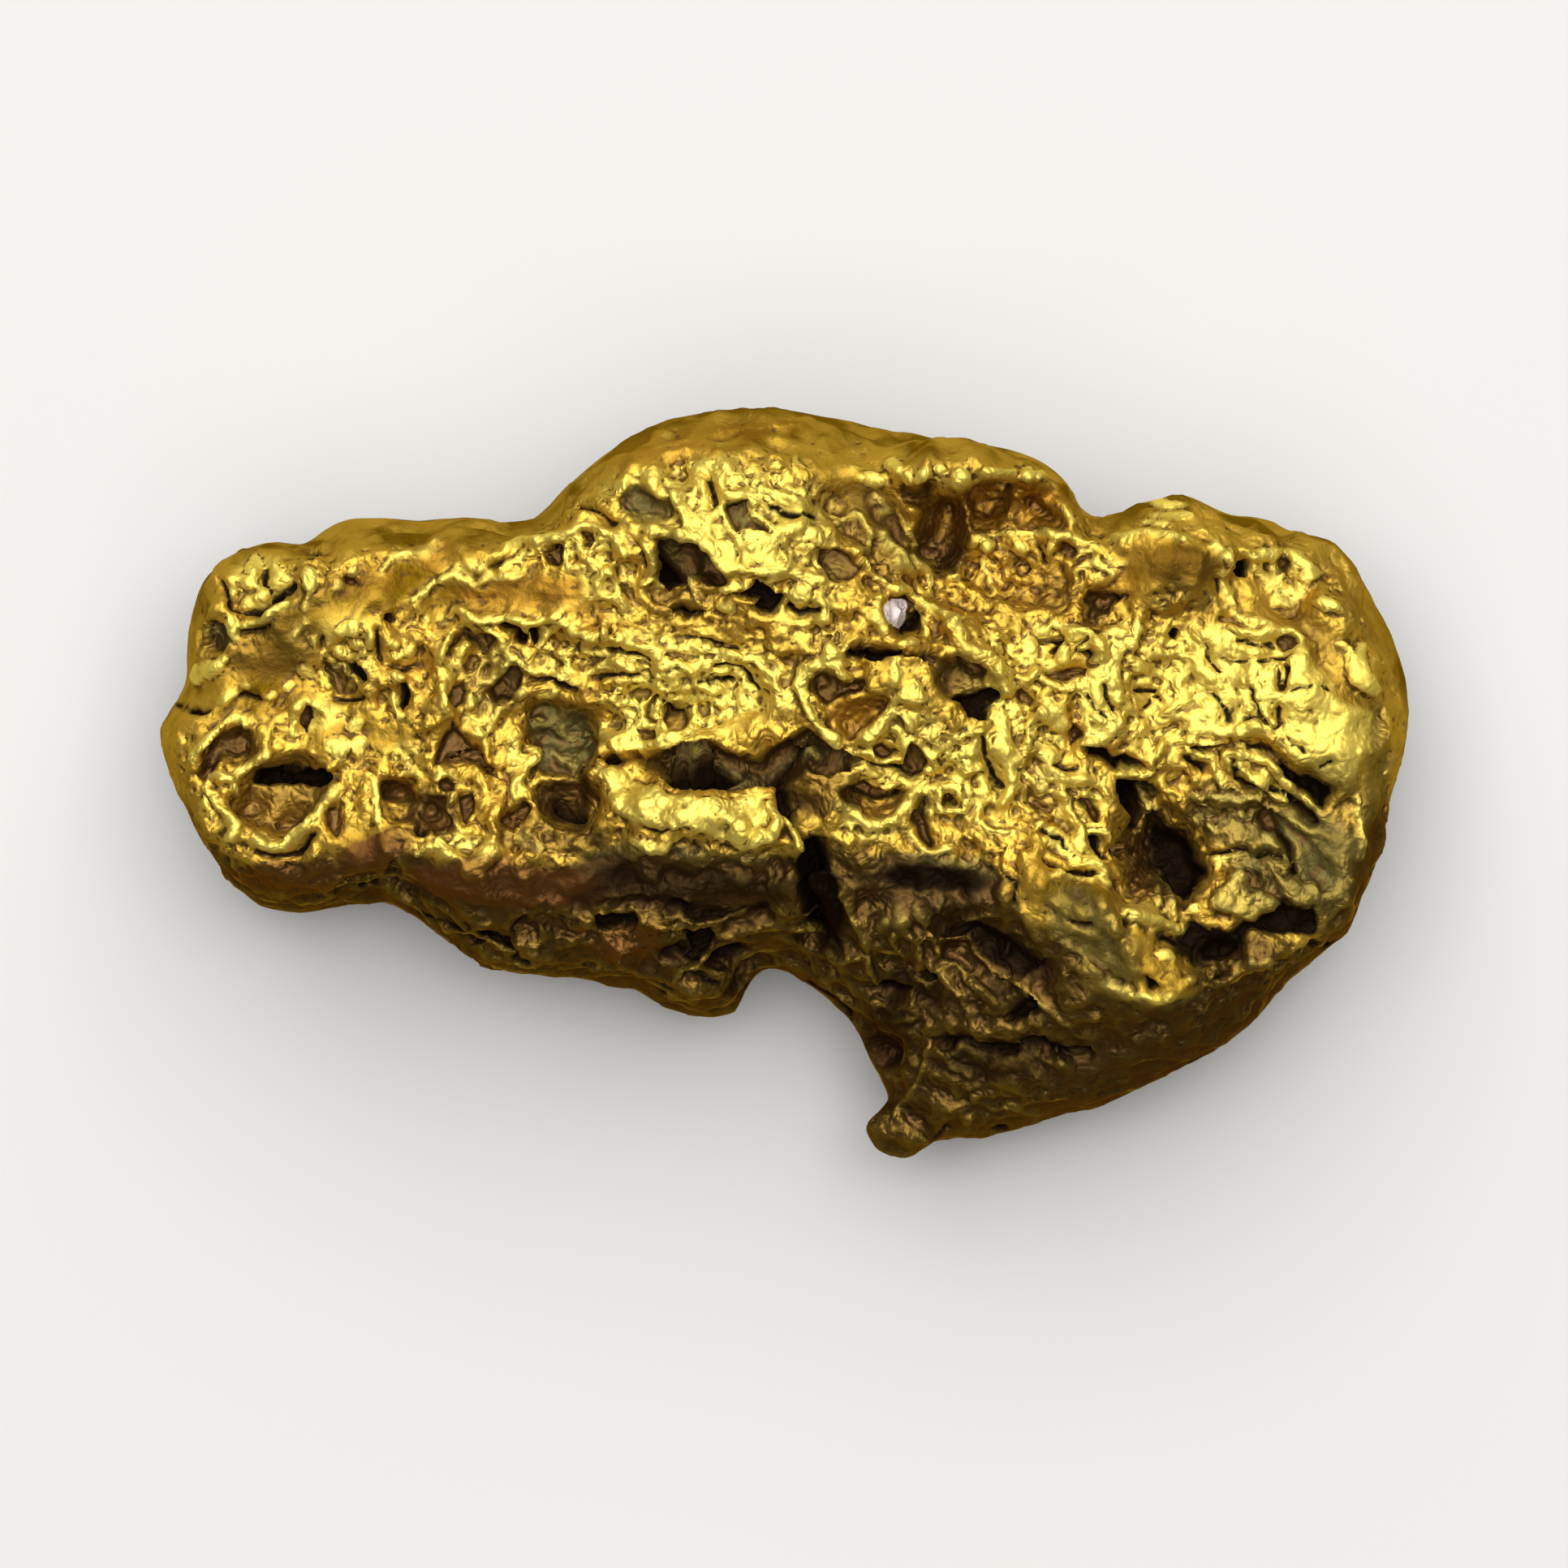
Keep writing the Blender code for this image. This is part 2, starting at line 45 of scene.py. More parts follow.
# --------------------------------------------------------------------------------------------------
# The nugget: one lump of native gold, worn round in a river bed. Its broad face is a crowd of lobes,
# folds, blobs and pits; the bands between them and its outer edge are rubbed smooth. The shaping
# below is in millimetres, +X along the length, +Y across, +Z up out of the face.
# --------------------------------------------------------------------------------------------------

OUTLINE = (
    (15.43, 1.79), (15.38, 2.62), (15.08, 3.64), (14.56, 4.67), (14.05, 5.59), (13.54, 6.10),
    (12.41, 6.23), (12.10, 6.47), (10.87, 6.68), (10.26, 6.96), (9.64, 7.13), (9.13, 6.92),
    (8.92, 6.68), (8.00, 6.51), (7.34, 6.51), (7.24, 6.92), (6.97, 7.54), (6.36, 8.01),
    (5.33, 8.32), (3.90, 8.52), (2.87, 8.71), (2.05, 8.87), (1.03, 9.10), (-0.41, 9.24),
    (-1.64, 9.14), (-2.87, 8.93), (-3.90, 8.52), (-4.92, 7.74), (-5.74, 6.88), (-6.15, 6.47),
    (-6.77, 6.39), (-7.80, 6.57), (-9.03, 6.51), (-10.05, 6.63), (-10.77, 6.57), (-11.38, 6.27),
    (-11.65, 5.88), (-12.50, 6.02), (-13.33, 5.84), (-13.95, 5.45), (-14.36, 4.97), (-14.67, 3.85),
    (-14.73, 2.60), (-15.00, 2.05), (-15.45, 1.43), (-15.38, 0.77), (-14.97, -0.26), (-14.36, -1.38),
    (-13.74, -2.41), (-12.90, -3.03), (-11.90, -3.23), (-10.46, -2.96), (-9.85, -2.82), (-9.33, -3.13),
    (-8.80, -3.44), (-7.80, -4.15), (-6.97, -4.56), (-6.15, -4.73), (-4.92, -4.77), (-3.70, -5.08),
    (-2.87, -5.55), (-2.05, -5.75), (-1.20, -5.68), (-0.98, -5.20), (-0.80, -4.75), (-0.45, -4.50),
    (0.20, -4.60), (1.03, -5.20), (1.64, -5.80), (1.95, -6.40), (2.36, -7.20), (2.70, -7.90),
    (3.30, -8.75), (3.80, -8.90), (4.50, -8.77), (5.74, -8.56), (6.97, -8.15), (8.41, -7.74),
    (10.05, -6.92), (11.50, -6.00), (12.50, -4.77), (13.33, -4.15), (13.95, -3.74), (14.46, -2.51),
    (14.77, -1.49), (14.97, -0.26), (15.28, 0.77),
)

# The edge of the broad upper face. Between it and the outline the surface turns down.
FACE_EDGE = (
    (14.35, 1.50), (14.30, 3.00), (13.70, 4.60), (12.60, 5.50), (11.00, 5.75), (9.60, 6.20),
    (8.20, 5.75), (7.20, 5.90), (6.30, 7.10), (5.20, 7.55), (3.30, 7.60), (2.30, 7.30),
    (1.20, 7.20), (0.00, 7.60), (-2.00, 7.75), (-3.60, 7.50), (-5.00, 6.60), (-6.20, 5.60),
    (-8.00, 5.45), (-10.40, 5.30), (-12.20, 5.20), (-13.40, 4.60), (-13.90, 3.00), (-14.20, 0.80),
    (-14.00, -1.10), (-12.80, -1.85), (-11.00, -1.70), (-10.10, -1.10), (-8.70, -1.40), (-7.60, -2.00),
    (-5.50, -1.65), (-3.00, -1.45), (-0.60, -1.70), (0.60, -1.40), (2.00, -1.30), (3.80, -1.70),
    (5.30, -1.95), (6.30, -3.20), (7.60, -4.70), (9.40, -5.25), (11.00, -4.60), (12.60, -3.80),
    (13.60, -2.60), (14.10, -1.00),
)

FACE_HEIGHT = 8.9
END_DROP = 0.008
UNDER_ROUND = 4.6
WORN_DEPTH = 0.8
# Heights above the first of these are eased down so that nothing stands above the second.
TOP_LEVELS = (9.8, 10.74)
BROAD_STEP = 0.2
FINE_STEP = 0.085
TRIANGLES = 198000
DECIMATE_BIAS = 0.02

# Where the widest line lies above the ground: x, y, reach, height above or below the usual level.
RIM_LEVEL = 4.2
RIM_CHANGES = (
    (0.0, 8.5, 5.0, 0.8), (11.0, 6.5, 3.5, 0.5), (-10.0, -3.0, 4.5, -0.9), (-2.5, -5.5, 3.5, -1.4),
    (5.0, -8.5, 3.5, -1.6), (14.5, 0.0, 3.0, 0.2), (12.0, -5.5, 3.0, -0.9),
)

# Broad rises and falls of the upper face: x, y, reach along x, reach along y, height.
FACE_LOBES = (
    (-0.8, 5.8, 4.2, 2.4, 1.5), (3.2, 2.4, 3.2, 2.2, 0.7), (-2.2, -0.8, 3.0, 1.0, 0.7),
    (13.0, 2.0, 2.4, 3.4, 0.7), (9.8, 5.2, 1.7, 1.4, 0.8), (5.4, 5.2, 1.7, 1.0, -1.3),
    (-5.3, 0.8, 1.3, 1.9, -0.9), (9.4, -1.4, 1.7, 1.9, -0.9), (7.6, -3.2, 1.6, 1.6, 0.5),
    (-12.6, 3.6, 1.8, 1.9, 0.3), (-8.0, 4.6, 2.6, 0.8, -0.3),
    (4.6, 7.7, 2.2, 0.7, 0.5), (2.2, 6.6, 0.7, 1.0, -0.6), (-8.5, 1.5, 2.5, 2.2, -0.3),
)

# Lumps and hollows of the under side: x, y, reach, height downwards.
UNDER_LUMPS = (
    (-10.5, 1.8, 3.0, 0.7), (-1.0, 5.0, 3.4, 0.6), (9.0, 2.8, 3.6, 0.8), (5.5, -4.0, 2.8, 0.7),
    (-3.5, 0.2, 2.4, -0.8), (3.6, 0.8, 1.8, -0.9), (-6.4, 4.0, 1.6, -0.6), (12.0, -2.0, 2.0, -0.7),
    (-8.0, -1.8, 1.8, -0.5), (4.5, 5.6, 1.6, -0.5),
)

# The bead of metal at the lower tip: middle, radii.
BEAD_AT = (2.88, -8.60, 3.1)
BEAD_RADII = (0.85, 0.68, 0.80)

# Forms narrower than this go on last, on the finer mesh.
SMALL = 0.31

# Swells: x, y, half length, half width, turn in degrees, height.
SWELLS = (
    (-12.8, 4.4, 1.5, 1.2, 20, 0.35), (-14.5, 0.9, 0.6, 1.2, 0, 0.25), (-11.5, 5.0, 0.5, 0.5, 0, 0.25),
    (-9.6, 4.6, 1.6, 0.5, -10, 0.30), (-3.8, -3.9, 0.9, 0.5, 10, 0.40), (-2.1, -4.9, 1.1, 0.6, -8, 0.60),
    (-10.0, -1.8, 0.8, 0.5, 25, 0.35), (-7.4, -2.3, 1.8, 0.6, -6, 0.35), (13.4, 4.4, 0.7, 0.5, -45, 0.30),
    (14.1, 2.8, 0.9, 0.4, -62, 0.30), (13.2, 1.5, 1.2, 1.2, 0, 0.30), (11.3, -2.8, 1.0, 0.5, 0, 0.45),
    (7.3, 3.5, 0.5, 0.4, 0, 0.30), (7.9, 2.0, 0.5, 1.1, 0, 0.35), (0.4, -1.3, 0.4, 0.7, 25, 0.35),
    (4.6, 7.7, 1.7, 0.35, -5, 0.35), (3.3, 1.6, 0.5, 0.4, 30, 0.35), (-4.9, 5.9, 0.5, 0.4, 0, 0.20),
    (4.9, -8.4, 0.6, 0.35, 5, 0.35), (3.0, -3.4, 0.8, 0.35, 20, 0.40), (-1.0, 2.7, 1.6, 0.5, -12, 0.20),
    (9.5, 5.4, 1.0, 0.6, 0, 0.30), (-7.5, -3.25, 0.6, 0.32, 0, 0.30), (-7.3, -4.3, 0.5, 0.32, -20, 0.30),
    (-6.2, -3.95, 0.5, 0.45, 0, 0.35), (-10.5, 4.0, 1.1, 0.7, 0, 0.15), (0.3, -2.5, 0.4, 0.35, 0, 0.35),
    (11.9, -4.3, 0.7, 0.6, 0, 0.35), (6.0, -5.8, 0.35, 0.4, 0, 0.20), (-8.7, 1.5, 0.6, 0.8, 0, 0.15),
    (8.5, 0.95, 0.35, 0.32, 0, 0.20), (5.6, -7.4, 1.4, 0.5, 0, 0.25), (-2.2, 0.75, 0.6, 0.35, 0, 0.10),
)

# Hollows: x, y, half length, half width, turn in degrees, depth.
HOLLOWS = (
    (-12.8, 4.8, 0.95, 0.65, 10, 0.35), (-10.7, 2.8, 0.6, 0.8, 0, 0.25), (-11.6, 1.7, 0.35, 0.4, 0, 0.30),
    (-8.5, -0.7, 0.6, 0.5, 0, 0.40), (-5.1, -0.5, 0.7, 0.7, 10, 0.45), (-2.5, 1.75, 0.8, 0.6, 0, 0.30),
    (1.2, 5.4, 0.8, 0.4, 0, 0.25), (5.2, 6.6, 1.9, 0.8, 5, 0.60), (2.95, 4.2, 0.55, 0.6, 0, 0.80),
    (12.1, 5.2, 1.1, 0.6, -20, 0.45), (9.2, -1.5, 1.1, 1.5, 25, 0.70), (7.6, 4.5, 0.5, 0.45, 0, 0.20),
    (-4.1, -3.3, 0.6, 0.35, 0, 0.25), (-2.2, -3.7, 0.8, 0.4, 0, 0.40), (2.5, -6.6, 0.5, 0.5, 0, 0.25),
    (4.6, -4.3, 0.9, 0.5, 20, 0.35), (2.8, -4.4, 0.5, 0.45, 0, 0.25), (-9.5, -0.4, 0.5, 0.6, 0, 0.35),
    (1.9, 5.95, 0.5, 0.5, 0, 0.20), (10.6, -4.1, 0.9, 0.4, 10, 0.35), (-2.4, 5.0, 0.9, 0.8, 15, 0.50),
)

# Pits: depth, width of their wall, tone painted in them (mostly shade, some stain), its strength, and the outline of
# the mouth.
PITS = (
    (0.80, 0.35, "brown", 0.50, (
        (-13.35, -0.35), (-13.2, 0.15), (-12.85, 0.5), (-12.3, 0.75), (-11.7, 0.7), (-11.25, 0.4),
        (-11.05, 0.05), (-11.15, -0.35), (-11.5, -0.85), (-11.9, -1.2), (-12.5, -1.35), (-13.05, -1.2),
        (-13.3, -0.85))),
    (0.60, 0.15, "black", 1.00, (
        (-12.95, 0.1), (-12.7, 0.38), (-12.2, 0.5), (-11.8, 0.42), (-11.3, 0.35), (-11.05, 0.1),
        (-11.15, -0.02), (-11.6, 0.05), (-11.95, 0.02), (-12.3, 0.05), (-12.7, -0.05))),
    (0.30, 0.15, "brown", 0.80, (
        (-11.15, -0.45), (-10.85, -0.5), (-10.7, -1.0), (-10.9, -1.35), (-11.2, -1.1), (-11.25, -0.8))),
    (0.45, 0.20, "brown", 0.90, (
        (-14.25, 0.45), (-13.95, 0.95), (-13.6, 1.3), (-13.2, 1.55), (-13.05, 1.3), (-12.95, 0.9),
        (-13.1, 0.7), (-13.6, 0.65), (-13.75, 0.4), (-13.95, 0.1), (-14.25, 0.05), (-14.4, 0.25))),
    (0.30, 0.12, "olive", 0.90, ((-11.8, 1.85), (-11.62, 1.95), (-11.55, 1.6), (-11.7, 1.3), (-11.88, 1.5))),
    (0.40, 0.18, "brown", 0.90, (
        (-9.95, 0.1), (-9.5, 0.15), (-9.1, 0.05), (-9.15, -0.35), (-9.5, -0.4), (-9.9, -0.35))),
    (0.35, 0.12, "black", 1.00, ((-11.65, 5.9), (-11.5, 5.97), (-11.3, 5.7), (-11.5, 5.52), (-11.65, 5.6))),
    (0.35, 0.15, "olive", 0.80, (
        (-14.35, 3.4), (-14.3, 3.85), (-14.0, 4.0), (-13.75, 3.9), (-13.65, 3.55), (-13.8, 3.3),
        (-14.1, 3.25))),
    (0.30, 0.12, "brown", 0.90, ((-10.75, 5.1), (-10.5, 5.12), (-10.42, 4.9), (-10.6, 4.85), (-10.75, 4.95))),
    (0.30, 0.12, "black", 1.00, ((-9.6, 4.1), (-9.45, 4.15), (-9.35, 4.0), (-9.45, 3.88), (-9.6, 3.95))),
    (0.30, 0.12, "olive", 0.95, ((-11.35, 3.5), (-11.2, 3.58), (-11.05, 3.3), (-11.2, 3.15), (-11.35, 3.25))),
    (0.20, 0.15, "brown", 0.55, (
        (-11.15, 2.9), (-10.8, 3.0), (-10.5, 2.9), (-10.5, 2.3), (-10.8, 2.15), (-11.15, 2.3))),
    (0.35, 0.12, "black", 1.00, (
        (-10.5, 2.8), (-10.35, 2.9), (-10.2, 2.7), (-10.15, 2.45), (-10.35, 2.4), (-10.5, 2.55))),
    (0.35, 0.10, "black", 1.00, ((-9.45, 2.5), (-9.28, 2.5), (-9.22, 2.2), (-9.28, 1.9), (-9.43, 2.1))),
    (0.45, 0.25, "olive", 0.90, (
        (-6.1, 1.95), (-5.7, 2.05), (-5.2, 1.9), (-4.7, 1.7), (-4.45, 1.2), (-4.5, 0.8), (-4.7, 0.5),
        (-5.1, 0.2), (-5.9, 0.35), (-6.2, 0.15), (-6.3, 0.3), (-6.1, 0.6), (-6.05, 1.0), (-6.2, 1.5))),
    (0.35, 0.25, "brown", 0.85, (
        (-6.0, 0.1), (-5.4, 0.1), (-4.8, 0.2), (-4.5, -0.1), (-4.5, -0.6), (-4.9, -1.0), (-5.6, -1.0),
        (-6.1, -0.6))),
    (0.40, 0.15, "red", 0.80, (
        (-6.9, -0.85), (-6.7, -0.5), (-6.4, -0.3), (-6.2, -0.5), (-6.3, -0.8), (-6.6, -1.15))),
    (0.40, 0.15, "brown", 0.95, (
        (-8.3, 1.0), (-8.1, 1.5), (-7.7, 1.1), (-7.45, 1.1), (-7.35, 0.6), (-7.0, 0.4), (-7.0, 0.2),
        (-7.3, 0.25), (-7.6, 0.55), (-8.2, 0.6), (-8.6, 0.5), (-8.5, 0.75))),
    (0.30, 0.12, "olive", 1.00, (
        (-8.42, 0.0), (-8.3, 0.27), (-8.1, 0.32), (-7.93, 0.1), (-8.03, -0.12), (-8.3, -0.08))),
    (0.30, 0.12, "olive", 0.90, ((-7.9, -0.2), (-7.6, -0.15), (-7.5, -0.5), (-7.7, -0.95), (-7.87, -0.6))),
    (0.35, 0.15, "black", 1.00, ((-9.05, -1.1), (-8.8, -0.95), (-8.65, -1.1), (-8.75, -1.3), (-9.0, -1.3))),
    (0.80, 0.15, "olive", 1.00, (
        (-4.45, 0.5), (-4.1, 0.62), (-3.6, 0.68), (-3.0, 0.8), (-2.6, 0.85), (-2.2, 0.95), (-1.7, 0.98),
        (-1.3, 0.75), (-0.8, 0.7), (-0.4, 0.6), (-0.15, 1.0), (0.2, 1.25), (0.5, 1.35), (0.8, 1.15),
        (1.1, 0.9), (1.9, 0.5), (1.9, 0.33), (1.3, 0.3), (0.6, 0.35), (0.1, 0.0), (-0.4, 0.05),
        (-1.0, -0.1), (-1.6, -0.1), (-2.1, -0.15), (-2.5, 0.1), (-3.0, 0.28), (-3.6, 0.35), (-4.1, 0.38))),
    (0.40, 0.15, "black", 1.00, (
        (-3.1, 0.45), (-2.6, 0.5), (-2.0, 0.55), (-1.4, 0.5), (-1.0, 0.35), (-1.3, 0.05), (-2.1, -0.05),
        (-2.5, 0.15))),
    (0.30, 0.15, "black", 1.00, ((-0.1, 0.75), (0.3, 1.05), (0.7, 0.85), (0.7, 0.55), (0.2, 0.35))),
    (0.35, 0.15, "orange", 0.90, (
        (-2.85, 1.95), (-2.5, 2.0), (-2.25, 1.8), (-2.3, 1.45), (-2.6, 1.3), (-2.85, 1.5))),
    (0.30, 0.12, "olive", 0.95, (
        (-3.5, 1.75), (-3.3, 2.0), (-3.1, 2.2), (-3.0, 2.0), (-3.15, 1.7), (-3.05, 1.52), (-3.3, 1.5))),
    (0.20, 0.12, "orange", 0.80, ((-3.65, 1.27), (-3.15, 1.33), (-3.12, 1.05), (-3.5, 1.0))),
    (0.60, 0.20, "brown", 0.90, (
        (0.65, 2.3), (0.75, 2.6), (1.0, 2.78), (1.3, 2.7), (1.5, 2.55), (1.8, 2.6), (2.05, 2.6),
        (2.1, 2.35), (1.9, 2.25), (1.6, 2.3), (1.35, 2.15), (1.1, 1.95), (0.9, 2.05))),
    (0.35, 0.25, "orange", 0.90, (
        (1.1, 1.9), (1.4, 2.2), (2.0, 2.2), (2.5, 2.2), (2.6, 1.9), (2.2, 1.5), (1.8, 1.1), (1.5, 1.0),
        (1.2, 1.35))),
    (0.60, 0.12, "black", 1.00, (
        (1.55, 3.15), (1.8, 3.4), (2.3, 3.45), (2.8, 3.3), (3.2, 3.25), (3.7, 3.4), (3.87, 3.3),
        (3.82, 2.88), (3.62, 2.88), (3.52, 3.1), (3.1, 3.12), (2.75, 3.12), (2.4, 3.0), (1.9, 2.93),
        (1.65, 3.0))),
    (0.50, 0.25, "brown", 0.75, (
        (3.75, 3.0), (4.1, 3.15), (4.6, 3.1), (5.0, 2.7), (5.0, 2.3), (5.3, 2.1), (5.0, 1.9),
        (4.85, 1.7), (4.5, 1.75), (4.2, 2.05), (3.9, 2.2), (3.65, 2.5))),
    (0.25, 0.12, "olive", 0.95, ((4.25, 3.1), (4.8, 2.95), (4.95, 2.7), (4.6, 2.6), (4.4, 2.8))),
    (0.30, 0.12, "black", 1.00, (
        (4.05, 2.15), (4.5, 2.2), (5.3, 2.3), (5.3, 2.1), (4.9, 2.0), (4.9, 1.7), (4.6, 1.7), (4.4, 2.0))),
    (0.35, 0.15, "brown", 0.85, (
        (2.7, 0.3), (2.9, 0.6), (3.1, 0.95), (3.3, 0.9), (3.5, 0.6), (3.3, 0.3), (3.0, 0.12))),
    (0.30, 0.15, "brown", 0.90, ((2.2, 0.9), (2.5, 1.02), (2.8, 0.9), (2.7, 0.72), (2.4, 0.72))),
    (0.45, 0.20, "orange", 0.70, (
        (1.35, -0.2), (1.6, -0.1), (2.0, 0.05), (2.5, -0.1), (3.1, -0.2), (2.9, -0.5), (2.7, -0.7),
        (2.2, -0.8), (1.7, -0.75), (1.4, -0.45))),
    (0.25, 0.12, "brown", 0.95, ((1.5, -0.2), (2.0, -0.02), (2.6, -0.15), (2.9, -0.3), (2.2, -0.35))),
    (0.40, 0.15, "olive", 1.00, (
        (3.15, -0.5), (3.3, -0.25), (3.5, -0.35), (3.55, -0.9), (3.75, -1.4), (3.6, -1.5), (3.35, -1.1),
        (3.1, -0.9))),
    (0.40, 0.15, "orange", 0.95, ((3.93, -0.3), (4.1, -0.22), (4.24, -0.35), (4.18, -0.52), (3.98, -0.52))),
    (0.30, 0.12, "olive", 1.00, (
        (-7.35, 5.55), (-7.0, 5.6), (-6.7, 5.65), (-6.9, 5.4), (-7.0, 5.2), (-7.15, 5.25), (-7.15, 5.5))),
    (0.40, 0.12, "brown", 0.95, (
        (-5.95, 5.9), (-5.75, 5.95), (-5.5, 5.9), (-5.45, 5.5), (-5.6, 5.4), (-5.8, 5.4), (-5.9, 5.6))),
    (0.35, 0.12, "olive", 1.00, (
        (-4.95, 6.15), (-4.7, 6.2), (-4.6, 5.9), (-4.65, 5.65), (-4.85, 5.75), (-4.9, 5.95))),
    (0.50, 0.12, "black", 1.00, (
        (-6.95, 3.9), (-6.4, 3.92), (-6.25, 3.7), (-6.45, 3.5), (-6.65, 3.45), (-6.65, 3.7), (-6.9, 3.75))),
    (0.35, 0.10, "black", 1.00, ((-6.2, 3.9), (-5.95, 3.9), (-5.95, 3.65), (-6.1, 3.48), (-6.18, 3.7))),
    (0.35, 0.12, "olive", 0.95, (
        (-8.2, 3.3), (-8.1, 3.75), (-7.8, 3.9), (-7.5, 3.65), (-7.2, 3.6), (-7.1, 3.4), (-7.25, 3.1),
        (-7.45, 3.1), (-7.5, 3.35), (-7.8, 3.5), (-7.95, 3.3), (-8.05, 2.9), (-8.2, 2.9))),
    (0.45, 0.15, "olive", 1.00, (
        (-6.8, 2.9), (-6.55, 2.9), (-6.35, 2.7), (-6.4, 2.4), (-6.6, 2.15), (-7.0, 2.1), (-7.2, 2.3),
        (-7.0, 2.5), (-6.85, 2.7))),
    (0.35, 0.12, "olive", 1.00, ((-8.05, 2.4), (-7.8, 2.5), (-7.72, 2.2), (-8.0, 1.88), (-8.17, 2.1))),
    (0.35, 0.10, "black", 1.00, ((-4.3, 3.82), (-4.12, 3.82), (-4.08, 3.5), (-4.25, 3.5))),
    (0.25, 0.12, "olive", 0.95, ((-5.3, 3.35), (-5.05, 3.35), (-5.0, 3.15), (-5.2, 3.1))),
    (0.40, 0.25, "olive", 0.95, (
        (-4.04, 7.2), (-3.73, 7.35), (-3.4, 7.2), (-3.2, 7.05), (-2.85, 7.05), (-2.7, 6.85),
        (-2.65, 6.55), (-2.9, 6.4), (-3.35, 6.42), (-3.75, 6.6), (-4.1, 6.75))),
    (0.35, 0.15, "olive", 0.95, (
        (-1.55, 6.85), (-1.2, 6.85), (-0.9, 6.9), (-0.85, 6.6), (-0.55, 6.35), (-0.45, 6.15),
        (-0.75, 6.2), (-1.0, 6.25), (-1.15, 6.05), (-1.4, 6.35), (-1.55, 6.6))),
    (0.60, 0.15, "olive", 1.00, (
        (-3.2, 5.95), (-2.8, 5.85), (-2.4, 5.85), (-2.0, 5.8), (-1.85, 5.6), (-1.7, 5.3), (-1.5, 5.05),
        (-1.4, 4.9), (-1.6, 4.8), (-1.9, 4.75), (-2.05, 5.0), (-2.2, 5.1), (-2.3, 4.95), (-2.5, 4.95),
        (-2.65, 4.75), (-2.85, 4.9), (-2.85, 5.3), (-3.05, 5.6))),
    (0.35, 0.12, "black", 1.00, ((-2.85, 5.5), (-2.55, 5.45), (-2.55, 5.0), (-2.75, 4.85), (-2.87, 5.0))),
    (0.50, 0.12, "black", 1.00, (
        (-2.6, 4.35), (-2.3, 4.42), (-2.0, 4.32), (-1.83, 4.1), (-2.0, 4.0), (-2.3, 3.96), (-2.5, 4.1))),
    (0.50, 0.12, "black", 1.00, (
        (-1.5, 4.55), (-0.9, 4.65), (-0.6, 4.87), (-0.45, 4.77), (-0.3, 4.62), (-0.08, 4.52),
        (-0.13, 4.23), (-0.6, 4.13), (-0.8, 4.25), (-0.6, 4.4), (-1.0, 4.43))),
    (1.10, 0.30, "brown", 0.95, (
        (3.37, 6.76), (3.73, 7.03), (4.1, 7.03), (4.4, 6.7), (4.54, 6.4), (4.58, 5.9), (4.45, 5.5),
        (4.18, 5.28), (3.64, 5.4), (3.28, 5.68), (3.2, 6.13), (3.33, 6.5))),
    (0.45, 0.20, "brown", 0.95, (
        (2.8, 7.45), (3.2, 7.35), (3.6, 7.5), (3.7, 7.3), (3.65, 7.0), (3.4, 6.75), (3.05, 6.9),
        (2.8, 6.9), (2.75, 7.2))),
    (0.55, 0.25, "amber", 0.85, (
        (4.7, 7.3), (4.95, 7.45), (5.5, 7.35), (5.8, 7.2), (5.7, 6.8), (5.6, 6.4), (5.3, 6.1), (4.8, 6.1),
        (4.65, 6.5), (4.6, 6.9))),
    (0.45, 0.25, "amber", 0.95, (
        (6.0, 7.2), (6.3, 7.35), (6.8, 7.15), (6.95, 6.7), (7.05, 6.2), (6.4, 6.15), (6.0, 6.3),
        (6.1, 6.7))),
    (0.30, 0.15, "brown", 0.70, (
        (1.0, 5.65), (1.5, 5.7), (1.9, 5.5), (2.0, 5.2), (1.6, 5.05), (1.1, 5.1), (0.9, 5.4))),
    (0.30, 0.12, "brown", 0.95, ((6.75, 5.92), (6.97, 5.87), (7.12, 5.75), (6.97, 5.58), (6.83, 5.62))),
    (0.40, 0.18, "brown", 0.95, (
        (7.45, 4.75), (7.8, 4.75), (8.0, 4.5), (7.9, 4.1), (7.7, 3.95), (7.4, 4.0), (7.3, 4.4))),
    (0.35, 0.12, "brown", 0.80, ((6.9, 1.3), (7.1, 1.7), (7.27, 1.2), (7.0, 1.0))),
    (0.20, 0.15, "brown", 0.80, ((6.45, 2.8), (6.8, 2.9), (7.2, 2.75), (7.45, 2.6), (7.0, 2.52), (6.6, 2.6))),
    (0.45, 0.10, "black", 1.00, ((9.43, 3.75), (9.55, 3.83), (9.68, 3.73), (9.62, 3.58), (9.48, 3.6))),
    (0.60, 0.15, "black", 1.00, ((11.05, 5.3), (11.15, 5.5), (11.35, 5.52), (11.42, 5.3), (11.35, 5.1), (11.15, 5.15))),
    (0.30, 0.12, "brown", 0.95, (
        (12.1, 5.5), (12.3, 5.77), (12.52, 5.6), (12.55, 5.4), (12.35, 5.2), (12.2, 5.35))),
    (0.20, 0.12, "olive", 0.90, ((11.72, 5.4), (11.95, 5.4), (11.95, 5.2), (11.75, 5.2))),
    (0.30, 0.12, "olive", 0.95, ((12.03, 3.6), (12.2, 3.72), (12.42, 3.67), (12.47, 3.4), (12.2, 3.33))),
    (0.60, 0.18, "black", 1.00, (
        (11.0, 1.1), (11.3, 1.1), (11.7, 1.0), (12.0, 0.85), (12.3, 0.55), (12.6, 0.35), (12.9, 0.25),
        (13.2, 0.1), (13.3, -0.1), (13.2, -0.3), (13.35, -0.65), (13.1, -0.5), (12.9, -0.3),
        (12.7, -0.15), (12.5, -0.05), (12.3, 0.1), (12.15, 0.35), (12.05, 0.6), (11.8, 0.75), (11.4, 0.9))),
